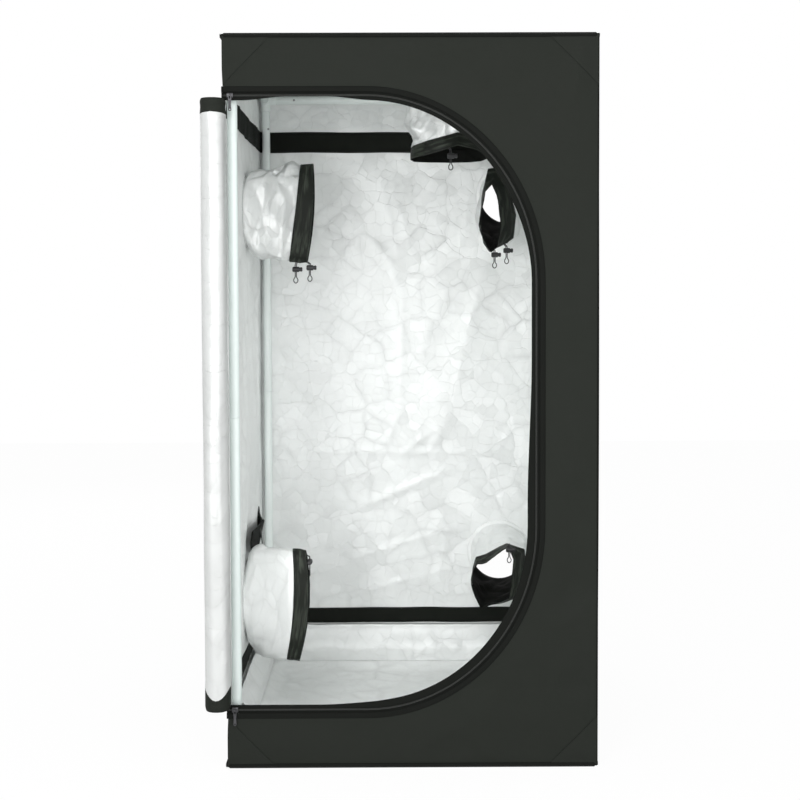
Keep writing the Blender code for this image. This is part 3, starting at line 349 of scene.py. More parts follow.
# The last number is how dark the film's tone and its painted crease shade go
FILM = film_finish("silver film", SILVER, 0.12, 0.30, 0.42, 0.12, 0.86)
FILM_SOFT = film_finish("soft silver film", SILVER, 0.14, 0.30, 0.36, 0.45, 0.76)
# Painted shade: the rolled film is a darker copy of the silver film, holding down the lamps' light on the roll
FILM_ROLL_PAINTED_DARKER = film_finish("rolled silver film painted darker", shade(SILVER, 0.59), 0.3, 0.10, 0.38, 0.08)
# Painted shade and light: one white powder coat in two copies, darker for the lamp-lit front and lighter for
# the shaded back
STEEL_PAINTED_DARKER = hard_finish("white powder coat", (0.66, 0.73, 0.71), 0.40, PAINT_LOOK, coat=0.15)
STEEL_PAINTED_LIGHTER = hard_finish("white powder coat painted lighter at the back", (0.88, 0.94, 0.92), 0.40, PAINT_LOOK, coat=0.15)
PLASTIC = hard_finish("black moulded plastic", (0.018, 0.018, 0.019), 0.42, PLASTIC_LOOK)
COIL = hard_finish("black nylon coil", (0.0085, 0.0100, 0.0080), 0.45, PLASTIC_LOOK)
ZIP_METAL = hard_finish("dark zip metal", (0.06, 0.06, 0.063), 0.35, METAL_LOOK, 0.8)
SNAP_METAL = hard_finish("grey snap steel", (0.30, 0.30, 0.30), 0.35, METAL_LOOK, 0.9)
CORD = cord_finish()
THREAD = hard_finish("black sewing thread", (0.035, 0.036, 0.035), 0.5, PLASTIC_LOOK)


# Making pieces
def bent_grid(across, along, place, size=(1, 1), closed=False):
    """A grid of quads carried to place(s, t), with its UV map in metres."""
    work = bmesh.new()
    bmesh.ops.create_grid(work, x_segments=across, y_segments=along, size=0.5)
    layer = work.loops.layers.uv.new("UVMap")
    for face in work.faces:
        for loop in face.loops:
            loop[layer].uv = ((loop.vert.co.x + 0.5) * size[0], (loop.vert.co.y + 0.5) * size[1])
    for vert in work.verts:
        vert.co = place(vert.co.x + 0.5, vert.co.y + 0.5)
    if closed:
        bmesh.ops.remove_doubles(work, verts=work.verts, dist=MERGE)
    return work


def placed(name, data):
    obj = bpy.data.objects.new(name, data)
    scene.collection.objects.link(obj)
    return obj


def new_object(name, work, materials, smooth=True):
    mesh = bpy.data.meshes.new(name)
    work.to_mesh(mesh)
    work.free()
    for material in materials:
        mesh.materials.append(material)
    if smooth:
        mesh.shade_smooth()
    return placed(name, mesh)


def settled(obj):
    """The object with its modifiers applied."""
    bpy.context.view_layer.update()
    graph = bpy.context.evaluated_depsgraph_get()
    mesh = bpy.data.meshes.new_from_object(obj.evaluated_get(graph), depsgraph=graph)
    mesh.transform(obj.matrix_world)
    mesh.name = name = obj.name
    if obj.type == "MESH":
        obj.modifiers.clear()
        obj.data = mesh
        obj.matrix_world = Matrix.Identity(4)
        return obj
    bpy.data.objects.remove(obj, do_unlink=True)
    return placed(name, mesh)


def fit(obj, body, nodes=()):
    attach(obj, body)
    if nodes:
        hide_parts(*nodes)
    return obj


def walled(obj, thickness, offset=-1.0, back=0, even=True):
    solid = obj.modifiers.new("wall", "SOLIDIFY")
    solid.thickness = thickness
    solid.offset = offset
    solid.use_even_offset = even
    solid.material_offset = back
    solid.material_offset_rim = back
    return obj


def lipped(obj, width, segments=2):
    """The object with its sharp edges rounded."""
    lip = obj.modifiers.new("lip", "BEVEL")
    lip.width = width
    lip.segments = segments
    lip.limit_method = "ANGLE"
    return obj


def sharpened(obj, degrees=40):
    obj.data.set_sharp_from_angle(angle=math.radians(degrees))
    return obj


def cut(obj, cutters):
    """Cuts each cutter out of obj and removes the cutters."""
    for cutter in cutters:
        knife = obj.modifiers.new("cut", "BOOLEAN")
        knife.object = cutter
        knife.solver = "EXACT"
    settled(obj)
    for cutter in cutters:
        bpy.data.objects.remove(cutter, do_unlink=True)
    return obj


def turned(spot, way):
    """Carries the Z axis to way, and the origin to spot."""
    return Matrix.Translation(spot) @ way.to_track_quat("Z", "Y").to_matrix().to_4x4()


def rod(start, end, radius, sides, capped=True):
    start, end = Vector(start), Vector(end)
    work = bmesh.new()
    bmesh.ops.create_cone(
        work,
        cap_ends=capped,
        segments=sides,
        radius1=radius,
        radius2=radius,
        depth=(end - start).length,
        matrix=turned((start + end) / 2, end - start),
    )
    return work


def rod_object(start, end, radius, sides=64):
    return new_object("rod", rod(start, end, radius, sides), [])


def smooth_share(value):
    value = max(0.0, min(1.0, value))
    return value * value * (3 - 2 * value)


def joined(name, parts, materials):
    """One object of several meshes."""
    work = bmesh.new()
    for part in parts:
        work.from_mesh(part.data)
        bpy.data.objects.remove(part, do_unlink=True)
    return new_object(name, work, materials)


def dress(names, material):
    """Gives the frame's own nodes a material, in place of what they have."""
    for name in names:
        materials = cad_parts[name].data.materials
        materials.clear()
        materials.append(material)


# Folds and crumples of the cloth
def ridges(u, v, seed, size, height):
    """Sharp soft-sided creases that wander."""
    ridge = 1 - abs(noise.noise(Vector((u / size, v / size, seed))))
    return height * (ridge**4 - 0.35)


def swell(u, v, seed, size, height):
    return height * noise.noise(Vector((u / size, v / size, seed + 31)))


def facets(u, v, seed, around=0):
    """Flat facets with sharp creases between them, from -1 to 1; around is how many close a ring."""
    column, row = math.floor(u), math.floor(v)
    a, b = u - column, v - row

    def height(i, j):
        i += column
        return noise.cell(Vector(((i % around if around else i) + 0.5, row + j + 0.5, seed + 0.5)))

    low, high = 0, 1
    if ((column % around if around else column) + row) % 2:
        low, high, a = 1, 0, 1 - a
    if a + b < 1:
        corner, along, up = height(low, 0), height(high, 0), height(low, 1)
        return corner + a * (along - corner) + b * (up - corner)
    corner, along, up = height(high, 1), height(low, 1), height(high, 0)
    return corner + (1 - a) * (along - corner) + (1 - b) * (up - corner)


def creases(*lines):
    """Straight creases, each given in millimetres as from, to, height and half width."""
    return [[value / 1000 for value in line] for line in lines]


def fold(u, v, line):
    u0, v0, u1, v1, height, width = line
    along = Vector((u1 - u0, v1 - v0))
    spot = Vector((u - u0, v - v0))
    share = spot.dot(along) / along.length_squared
    near = max(0.0, min(1.0, share))
    off = (spot - along * near).length
    if off > width:
        return 0.0
    fade = math.sin(math.pi * (0.12 + 0.76 * near))
    return height * fade * (1 - off / width) ** 1.6


def clear_of(u, v, spots, margin):
    """0 on round places and within margin of them, rising to 1 further out."""
    share = 1.0
    for cu, cv, radius in spots:
        away = math.hypot(u - cu, v - cv) - radius
        share = min(share, smooth_share((away - margin) / 0.05))
    return share


def border(u, v, low, high, width):
    near = min(u - low[0], high[0] - u, v - low[1], high[1] - v)
    return smooth_share(near / width)


PORTS = {
    "left": [(0.0536, 1.245, 0.080), (-0.0057, 0.285, 0.083), (0.2939, 0.430, 0.026)],
    "back": [(0.2801, 1.310, 0.078), (0.2542, 0.320, 0.077)],
    "roof": [(0.0780, 0.0942, 0.075)],
}

BACK_FOLDS = creases(
    (-375, 602, 230, 596, 3.5, 18), (-270, 816, -20, 816, 2.2, 12), (-14.5, 1060, -20, 700, 4.5, 22),
    (-20, 700, -75, 600, 3.5, 16), (-75, 1370, -20, 1130, 5, 30), (-40, 1330, 10, 1180, 5, 30),
    (-110, 1200, -10, 1090, 4, 22), (-50, 1130, -10, 1020, 4, 22), (230, 1180, 110, 690, 7.5, 70),
    (110, 690, 60, 600, 5, 30), (120, 1060, 20, 860, 3, 40), (-170, 430, 120, 550, 6, 22),
    (120, 550, 330, 430, 3.5, 22), (-20, 586, 70, 660, 4, 16), (-20, 586, -90, 650, 3.5, 14),
    (-20, 586, 10, 520, 3, 14), (-160, 300, 140, 390, 4, 18), (-190, 190, 110, 270, 3.5, 18),
    (110, 390, 90, 230, 4, 16), (120, 380, 330, 402, 4, 16), (-330, 400, -230, 500, 3.5, 16),
    (-240, 1020, -190, 1110, 3.5, 18), (-200, 920, -160, 1010, 3, 18), (190, 1330, 150, 1180, 4, 22),
    (-360, 1500, -240, 1545, 3, 16), (200, 860, 310, 760, 3.5, 20), (240, 580, 300, 680, 3.5, 14),
)


def back_relief(u, v):
    """How far the back wall stands into the tent at x = u, z = v."""
    rise = swell(u, v, 4.0, 0.26, 0.0030) + ridges(u, v, 1.7, 0.13, 0.0011)
    rise += 0.0012 * facets(u / 0.11 + 0.5 * v, v / 0.14 - 0.4 * u, 8.0)
    rise += 0.0005 * facets(u / 0.045 - v, v / 0.05 + u, 9.0)
    rise += sum(fold(u, v, line) for line in BACK_FOLDS) * 0.6
    rise *= clear_of(u, v, PORTS["back"], 0.016)
    return rise * border(u, v, (-INNER, 0.002), (INNER, 1.598), 0.035)


LEFT_FOLDS = creases(
    (-200, 1050, -150, 600, 8, 45), (-280, 800, -220, 450, 6, 35), (100, 1050, 160, 620, 7, 40),
    (240, 1200, 270, 700, 6, 35), (-50, 1000, 40, 600, 6, 35), (-300, 1300, -200, 1120, 6, 30),
    (160, 360, 300, 220, 5, 28), (-300, 400, -140, 240, 5, 28),
)


def side_relief(u, v, seed, folds=(), ports=()):
    """How far a side wall stands into the tent at y = u, z = v."""
    rise = swell(u, v, seed, 0.26, 0.0045) + ridges(u, v, seed + 3, 0.10, 0.0026)
    rise += 0.0040 * facets(u / 0.10 + 0.6 * v, v / 0.16 - 0.5 * u, seed)
    rise += 0.0012 * facets(u / 0.045 - v, v / 0.06 + u, seed + 9)
    rise += sum(fold(u, v, line) for line in folds)
    rise *= clear_of(u, v, ports, 0.016)
    tube = smooth_share((abs(abs(u) - POST) - 0.014) / 0.03)
    rise = rise * tube + min(rise, 0.002) * (1 - tube)
    return rise * border(u, v, (-INNER, 0.002), (INNER, 1.598), 0.035)


def left_relief(u, v):
    return side_relief(u, v, 12.0, LEFT_FOLDS, PORTS["left"])


def right_relief(u, v):
    return side_relief(u, v, 27.0)


def roof_relief(u, v):
    rise = swell(u, v, 40.0, 0.3, 0.004) + ridges(u, v, 44.0, 0.12, 0.0022)
    rise *= clear_of(u, v, PORTS["roof"], 0.016)
    return rise * border(u, v, (-HALF, -HALF), (HALF, HALF), 0.05)


# The doorway's edge, from the left end of its top round to the left end of its foot
def doorway_edge(outset, left=-HALF, steps=24):
    centre_x = DOOR_RIGHT - ARC_WIDTH
    high, low = DOOR_TOP - ARC_HEIGHT, DOOR_BOTTOM + ARC_HEIGHT
    across, upwards = ARC_WIDTH + outset, ARC_HEIGHT + outset
    angles = [math.pi / 2 * step / steps for step in range(steps + 1)]
    start = (left, DOOR_TOP + outset)
    points = [start, ((left + centre_x) / 2, DOOR_TOP + outset)]
    points += [(centre_x + across * math.sin(a), high + upwards * math.cos(a)) for a in angles]
    points += [(centre_x + across * math.cos(a), low - upwards * math.sin(a)) for a in angles]
    points += [((left + centre_x) / 2, DOOR_BOTTOM - outset), (left, DOOR_BOTTOM - outset)]
    return [Vector(point) for point in points]


class Path:
    """A line of points, read by the share of its length."""

    def __init__(self, points):
        self.points = [Vector(point) for point in points]
        self.marks = [0.0]
        for first, second in zip(self.points, self.points[1:]):
            self.marks.append(self.marks[-1] + (second - first).length)
        self.length = self.marks[-1]

    def at(self, share):
        goal = max(0.0, min(1.0, share)) * self.length
        index = 0
        while index < len(self.marks) - 2 and self.marks[index + 1] < goal:
            index += 1
        span = self.marks[index + 1] - self.marks[index]
        first, second = self.points[index], self.points[index + 1]
        local = (goal - self.marks[index]) / span
        before = self.points[max(index - 1, 0)]
        after = self.points[min(index + 2, len(self.points) - 1)]
        early, late = (second - before).normalized(), (after - first).normalized()
        return first.lerp(second, local), early.lerp(late, local).normalized()


def tape_inset(spot):
    """How far the zip tape's inner edge hangs into the doorway: up at its top, slack low on the right."""
    if spot.y > 1.2 and spot.x < 0:
        return -0.0080 * smooth_share((spot.x + 0.364) / 0.094) * (1 - smooth_share((spot.x + 0.175) / 0.09))
    if spot.y > 1.0:
        return 0.004 * math.sin(math.pi * smooth_share((DOOR_TOP - spot.y) / ARC_HEIGHT))
    return 0.0086 * smooth_share((0.90 - spot.y) / 0.32) * smooth_share((spot.x + 0.20) / 0.17)


def strip_on_door(name, outset, width, proud, thick, material, y, loose=0.0):
    """A flat strip that runs round the doorway, outset from its edge; its inner edge may be slack."""
    path = Path(doorway_edge(outset))
    half = width / 2
    section = [(-half, 0), (-half, 0.7), (-half * 0.8, 1), (half * 0.8, 1), (half, 0.7), (half, 0)]

    def place(s, t):
        spot, along = path.at(t)
        side = Vector((-along.y, along.x))
        step = s * (len(section) - 1)
        index = min(int(step), len(section) - 2)
        first, second = Vector(section[index]), Vector(section[index + 1])
        across, up = first.lerp(second, step - index)
        flat = spot + side * across
        flat -= side * loose * tape_inset(spot) * (half - across) / width
        return Vector((flat.x, y - up * proud, flat.y))

    work = bent_grid(len(section) - 1, 220, place, (width, path.length))
    bmesh.ops.recalc_face_normals(work, faces=work.faces)
    obj = new_object(name, work, [material])
    return walled(obj, thick)


def curve_object(name, points, radius=0.0, cyclic=False, resolution=3):
    data = bpy.data.curves.new(name, "CURVE")
    data.dimensions = "3D"
    data.bevel_depth = radius
    data.bevel_resolution = resolution
    data.use_fill_caps = not cyclic
    spline = data.splines.new("POLY")
    spline.points.add(len(points) - 1)
    for point, spot in zip(spline.points, points):
        point.co = (*spot, 1)
    spline.use_cyclic_u = cyclic
    return placed(name, data)


STITCH_LONG = 0.0028
STITCH_THICK = 0.00035
STITCH_PITCH = 0.0042


def repeated(name, template, points, pitch):
    """Copies of template, which lies along X, every pitch along a line of points."""
    path = curve_object("line", points)
    rows = template.modifiers.new("rows", "ARRAY")
    rows.fit_type = "FIT_CURVE"
    rows.curve = path
    rows.use_relative_offset = False
    rows.use_constant_offset = True
    rows.constant_offset_displace = (pitch, 0, 0)
    bend = template.modifiers.new("bend", "CURVE")
    bend.object = path
    bend.deform_axis = "POS_X"
    template.name = name
    settled(template)
    bpy.data.objects.remove(path, do_unlink=True)
    return template


def stitch():
    work = bmesh.new()
    half = STITCH_LONG / 2
    size = Matrix.Diagonal((half, STITCH_THICK, STITCH_THICK, 1)) @ Matrix.Rotation(math.pi / 2, 4, "Y")
    shape = Matrix.Translation((half, 0, 0)) @ size
    bmesh.ops.create_uvsphere(work, u_segments=5, v_segments=4, radius=1, matrix=shape)
    return new_object("stitch", work, [])


def sewn(name, rows):
    """Rows of stitches along several lines, as one piece."""
    made = [repeated("row", stitch(), points, STITCH_PITCH) for points in rows]
    return fit(joined(name, made, [THREAD]), "tent")


def piping(name, points, radius, material, cyclic=False, resolution=3):
    obj = settled(curve_object(name, points, radius, cyclic, resolution))
    obj.data.materials.append(material)
    return fit(obj, "tent", ())


def along_door(outset, y, left=-HALF + 0.002):
    return [Vector((point.x, y, point.y)) for point in doorway_edge(outset, left)]


def line_of(start, end, count=2):
    start, end = Vector(start), Vector(end)
    return [start.lerp(end, step / (count - 1)) for step in range(count)]


# Steel frame
def tube(name, start, end, snaps, node):
    """A round-lipped tube with its snap holes, each given as (place, way)."""
    # Back tubes take the coat painted lighter, the others the coat painted darker
    steel = STEEL_PAINTED_LIGHTER if "_back" in name else STEEL_PAINTED_DARKER
    obj = walled(new_object(name, rod(start, end, TUBE_RADIUS, 40, False), [steel]), TUBE_WALL)
    cut(lipped(obj, 0.0004), [rod_object(at, at + way * TUBE_RADIUS * 1.6, SNAP_HOLE, 20) for at, way in snaps])
    return fit(sharpened(obj), "tent", [node])


def build_posts():
    low, high = LOW_RAIL_Z + ARM + GAP, HIGH_RAIL_Z - ARM - GAP
    for side_x, side_y, name in CORNERS:
        spot = Vector((side_x * POST, side_y * POST, 0))
        inward = Vector((-side_x, -side_y, 0)).normalized()
        for part, foot, head, snap in (
            ("lower", low, POST_JOINT_Z - GAP, LOW_RAIL_Z + SNAP_FROM_CORNER),
            ("upper", POST_JOINT_Z, high, HIGH_RAIL_Z - SNAP_FROM_CORNER),
        ):
            holes = [(spot + Z * snap, inward)]
            tube(f"post_{part}_tube_{name}", spot + Z * foot, spot + Z * head, holes, f"post_{part}_{name}")


def build_rails():
    reach = POST - ARM - GAP
    snap = POST - SNAP_FROM_CORNER
    for level, z in (("top", HIGH_RAIL_Z), ("bottom", LOW_RAIL_Z)):
        for side_name, side, along in (("front", -Y, X), ("back", Y, X), ("left", -X, Y), ("right", X, Y)):
            middle = side * POST + Z * z
            holes = [(middle + along * snap * sign, -side) for sign in (-1, 1)]
            ends = middle - along * reach, middle + along * reach
            tube(f"rail_{level}_tube_{side_name}", *ends, holes, f"rail_{level}_{side_name}")


def arm(start, end, radius):
    return settled(lipped(rod_object(start, end, radius, 40), 0.002, 3))


def build_corners():
    """Three-way fittings: sockets, the spigots inside the tubes, and the snap buttons that hold them."""
    for level, z, way in (("top", HIGH_RAIL_Z, 1), ("bottom", LOW_RAIL_Z, -1)):
        for side_x, side_y, name in CORNERS:
            spot = Vector((side_x * POST, side_y * POST, z))
            across, along, upright = Vector((-side_x, 0, 0)), Vector((0, -side_y, 0)), Z * -way
            parts = [arm(spot + Z * way * ARM, spot - Z * way * ARM, ARM_RADIUS)]
            parts += [arm(spot, spot + inner * ARM, ARM_RADIUS - 0.0006) for inner in (across, along)]
            inside = TUBE_RADIUS - TUBE_WALL - GAP
            parts += [arm(spot, spot + inner * SPIGOT, inside) for inner in (across, along, upright)]
            # Back fittings take the coat painted lighter, front ones the coat painted darker
            obj = joined(f"corner_fitting_{level}_{name}", parts, [STEEL_PAINTED_LIGHTER if side_y > 0 else STEEL_PAINTED_DARKER])
            fit(sharpened(obj), "tent", [f"corner_{level}_{name}"])
            snaps = []
            for inner, face in ((across, along), (along, across), (upright, (across + along).normalized())):
                work = bmesh.new()
                at = turned(spot + inner * SNAP_FROM_CORNER + face * (TUBE_RADIUS - 0.001), face)
                shape = at @ Matrix.Diagonal((0.0030, 0.0030, 0.0020, 1))
                bmesh.ops.create_uvsphere(work, u_segments=20, v_segments=12, radius=1, matrix=shape)
                snaps.append(new_object("snap", work, []))
            fit(joined(f"snap_buttons_{level}_{name}", snaps, [SNAP_METAL]), "tent", ())


def build_bars():
    reach = POST - TUBE_RADIUS - 0.001
    radius = TUBE_RADIUS + GAP
    for name, y in (("front", -0.15022), ("back", 0.23548)):
        parts = [arm(Vector((-reach, y, HIGH_RAIL_Z)), Vector((reach, y, HIGH_RAIL_Z)), 0.008)]
        for side in (-1, 1):
            def place(s, t):
                angle = math.radians(-20 + 220 * s)
                x, z = side * POST + radius * math.cos(angle), HIGH_RAIL_Z + radius * math.sin(angle)
                return Vector((x, y + 0.020 * (t - 0.5), z))

            hook = walled(new_object("hook", bent_grid(28, 4, place), []), 0.0024)
            parts.append(settled(lipped(hook, 0.0006)))
        obj = sharpened(joined(f"hanging_bar_tube_{name}", parts, [STEEL_PAINTED_DARKER]))
        fit(obj, f"hanging_bar_{name}", [f"hanging_bar_{name}"])


# Cloth shell
def shell_cloth(name, node, work, finishes, thick, cutters):
    """A wall, the roof or the floor, with its ports cut out."""
    obj = walled(new_object(f"{name}_cloth", work, finishes), thick, back=1)
    cut(obj, cutters)
    fit(obj, "tent", [node])


def on_wall(half, s, t):
    return -half + 2 * half * s, CLOTH_FOOT + CLOTH_RISE * t


def build_back_wall():
    def place(s, t):
        u, v = on_wall(HALF, s, t)
        return Vector((u, INNER - back_relief(u, v), v))

    holes = [rod_object((x, INNER - 0.03, z), (x, HALF + 0.03, z), radius) for x, z, radius in PORTS["back"]]
    work = bent_grid(122, 232, place, WALL_FLAT)
    shell_cloth("back_wall", "back_wall", work, [FILM, CLOTH_OUT], CLOTH, holes)


def build_side_wall(name, side, relief, ports):
    def place(s, t):
        u, v = on_wall(INNER, s, t)
        pinch = 0.0035 * smooth_share((u + 0.30) / -0.10) * door_pinch(v) if side < 0 else 0.0
        return Vector((side * (INNER - relief(u, v) - pinch), u, v))

    work = bent_grid(112, 224, place, (0.808, 1.596))
    if side > 0:
        bmesh.ops.reverse_faces(work, faces=work.faces)
    reach = side * (INNER - 0.03), side * (HALF + 0.03)
    holes = [rod_object((reach[0], y, z), (reach[1], y, z), radius) for y, z, radius in ports]
    finishes = [FILM, CLOTH_OUT]
    shell_cloth(f"{name}_wall", f"{name}_wall", work, finishes, CLOTH, holes)


def door_pinch(z):
    """The left edge is drawn in where the doorway ends, most at its top and foot."""
    top = 1 - smooth_share(abs(z - 1.462) / 0.07)
    foot = 1 - smooth_share(abs(z - 0.134) / 0.07)
    return 0.35 + 0.65 * max(top, foot)


def panel_pinch(x, z):
    return 0.0035 * smooth_share((-0.36 - x) / 0.046) * door_pinch(z)


def build_front_panel():
    path = Path(doorway_edge(0.022, -HALF, 60))
    marks = 240
    tree = kdtree.KDTree(marks + 1)
    for step in range(marks + 1):
        spot, _ = path.at(step / marks)
        tree.insert((spot.x, spot.y, 0), step)
    tree.balance()

    def relief(u, v):
        rise = swell(u, v, 52.0, 0.30, 0.007) + swell(u, v, 57.0, 0.12, 0.0035)
        rise += ridges(u, v, 60.0, 0.16, 0.0032)
        away = tree.find((u, v, 0))[2]
        return rise * smooth_share((away - 0.012) / 0.07) * border(u, v, (-HALF, 0.0), (HALF, HEIGHT), 0.05)

    def place(s, t):
        u, v = on_wall(HALF, s, t)
        bulge = 0.003 * smooth_share((u - 0.37) / 0.036) * math.sin(math.pi * t)
        return Vector((u + panel_pinch(u, v) + bulge, -HALF - relief(u, v), v))

    obj = new_object("front_panel_cloth", bent_grid(122, 232, place, WALL_FLAT), [CLOTH_OUT, FILM])
    walled(obj, CLOTH, back=1)
    obj.modifiers["wall"].material_offset_rim = 0
    loop = [(point.x, point.y, 0) for point in doorway_edge(TAPE_WIDTH, -HALF - 0.03, 60)]
    cutter = curve_object("doorway", loop, cyclic=True)
    cutter.data.dimensions = "2D"
    cutter.data.fill_mode = "BOTH"
    cutter.data.extrude = 0.05
    cutter.matrix_world = Matrix.Translation((0, -HALF, 0)) @ UPRIGHT_FRONT
    cut(obj, [weld(settled(cutter))])
    fit(sharpened(obj, 50), "tent", ["front_panel"])
    patches = build_patches(relief)


def weld(obj):
    work = bmesh.new()
    work.from_mesh(obj.data)
    bmesh.ops.remove_doubles(work, verts=work.verts, dist=MERGE)
    bmesh.ops.recalc_face_normals(work, faces=work.faces)
    work.to_mesh(obj.data)
    work.free()
    return obj


def build_patches(relief):
    """The doubled cloth in the front panel's corners."""
    size = 0.104
    made, rows = [], []
    for side in (-1, 1):
        for level, way in ((0.0068, 1), (1.5932, -1)):
            corner = Vector((side * (HALF - 0.0006), level))
            across, up = Vector((-side * size, 0)), Vector((0, way * size))

            def place(s, t):
                x, z = corner + (across * (1 - t) + up * t) * s
                return Vector((x + panel_pinch(x, z), -HALF - relief(x, z) - 0.0008, z))

            work = bent_grid(20, 20, place, (size, size), True)
            if side * way < 0:
                bmesh.ops.reverse_faces(work, faces=work.faces)
            made.append(settled(walled(new_object("patch", work, []), 0.0008)))
            row = line_of(corner + across * 0.93 + up * 0.02, corner + up * 0.93 + across * 0.02, 13)
            rows.append([Vector((x, -HALF - relief(x, z) - 0.0009, z)) for x, z in row])
    obj = sharpened(joined("corner_patches", made, [CLOTH_OUT]), 50)
    fit(obj, "tent", ())
    return [obj, sewn("corner_patch_stitches", rows)]


def ring_of(half, corner, z, steps=6):
    """A square with round corners, its first point again at its end."""
    points = []
    for quarter, (sign_x, sign_y) in enumerate([(1, 1), (-1, 1), (-1, -1), (1, -1)]):
        for step in range(steps + 1):
            angle = math.pi / 2 * (quarter + step / steps)
            x = sign_x * (half - corner) + corner * math.cos(angle)
            y = sign_y * (half - corner) + corner * math.sin(angle)
            points.append(Vector((x, y, z)))
    return points + points[:1]


def softened(value, power):
    return math.copysign(abs(value) ** power, value)


def build_lids():
    """Roof and floor with the bound seams that join them to the walls."""
    ring = Path(ring_of(LID_HALF, 0.008, 0))
    lids = [("roof", HEIGHT, -1, "rail_top_left"), ("floor", 0.0, 1, "rail_bottom_left")]
    for name, face_z, way, rail in lids:
        def place(s, t):
            u, v = (2 * s - 1) * LID_HALF, (2 * t - 1) * LID_HALF
            rise = roof_relief(u, v) if name == "roof" else 0.0
            return Vector((u, v, face_z + way * (0.0002 + max(rise, -0.008))))

        work = bent_grid(90, 90, place, LID_FLAT)
        if way > 0:
            bmesh.ops.reverse_faces(work, faces=work.faces)
        holes = [((x, y, HEIGHT - 0.03), (x, y, HEIGHT + 0.03), radius) for x, y, radius in PORTS.get(name, ())]
        cutters = [rod_object(*hole) for hole in holes]
        finishes = [CLOTH_OUT, FILM]
        shell_cloth(name, f"{name}_panel", work, finishes, CLOTH - 0.0002, cutters)
        low, high = sorted((face_z + way * 0.0002, face_z + way * 0.0095))

        def bound(s, t):
            spot, along = ring.at(t)
            out = Vector((along.y, -along.x, 0))
            angle = 2 * math.pi * s
            shape_x = softened(math.cos(angle), 0.6) * 0.0021
            shape_z = softened(math.sin(angle), 0.5) * (high - low) / 2
            return Vector((spot.x, spot.y, (low + high) / 2 + shape_z)) + out * (shape_x + 0.0003)

        work = bent_grid(16, 260, bound, (0.02, ring.length), True)
        bmesh.ops.recalc_face_normals(work, faces=work.faces)
        fit(new_object(f"{name}_seam_binding", work, [CLOTH_BIND_AND_SLEEVE_SHADE]), "tent", ())
        sewn(f"{name}_seam_stitches", [ring_of(HALF + 0.0036, 0.009, (low + high) / 2 - way * 0.002)])


def build_wall_seams():
    """Narrow felled seams up the shell's upright edges, without the one beside the door."""
    parts = []
    for side_x, side_y, _ in CORNERS[1:]:
        spot = Vector((side_x * (HALF + 0.0002), side_y * (HALF + 0.0002), 0))
        parts.append(settled(curve_object("seam", line_of(spot + Z * 0.010, spot + Z * 1.590, 24), 0.0016)))
    fit(joined("upright_seams", parts, [CLOTH_BIND_AND_SLEEVE_SHADE]), "tent", ())


def build_bands():
    """Woven tape sewn round the three inner walls, high and low."""
    inside = INNER - 0.0006
    at_wall = inside - 0.003
    route = [Vector((-inside, -INNER + 0.002, 0))]
    route += [Vector((-inside, -0.40 + 0.79 * step / 40, 0)) for step in range(1, 41)]
    route += [Vector((-inside + 0.012 + 0.785 * step / 40, inside, 0)) for step in range(41)]
    route += [Vector((inside, inside - 0.012 - 0.79 * step / 40, 0)) for step in range(41)]
    path = Path(route)
    for name, (low, high) in (("upper", UPPER_BAND), ("lower", LOWER_BAND)):
        def place(s, t, lift):
            spot, along = path.at(t)
            z = low + (high - low) * s
            z += 0.0016 * noise.noise(Vector((spot.x * 9, spot.y * 9, 40 * low)))
            rise = 0.0
            if spot.x < -at_wall:
                rise = left_relief(spot.y, z)
            elif spot.x > at_wall:
                rise = right_relief(spot.y, z)
            elif spot.y > at_wall:
                rise = back_relief(spot.x, z)
            return Vector((spot.x, spot.y, z)) + Vector((along.y, -along.x, 0)) * (rise + lift)

        flat = (high - low, path.length)
        work = bent_grid(8, 300, lambda s, t: place(s, t, 0.0008), flat)
        bmesh.ops.reverse_faces(work, faces=work.faces)
        obj = walled(new_object(f"{name}_band_tape", work, [CLOTH_BAND]), 0.0009)
        fit(obj, "tent", [f"{name}_wall_band"])
        rows = [[place(share, step / 300, 0.0011) for step in range(301)] for share in (0.05, 0.95)]
        thread = [sewn(f"{name}_band_stitches", rows)]


TRAY_CORNER = 0.012
TRAY_EASE = 0.05
TRAY_BEND = 0.020
TRAY_LEAN = 0.027


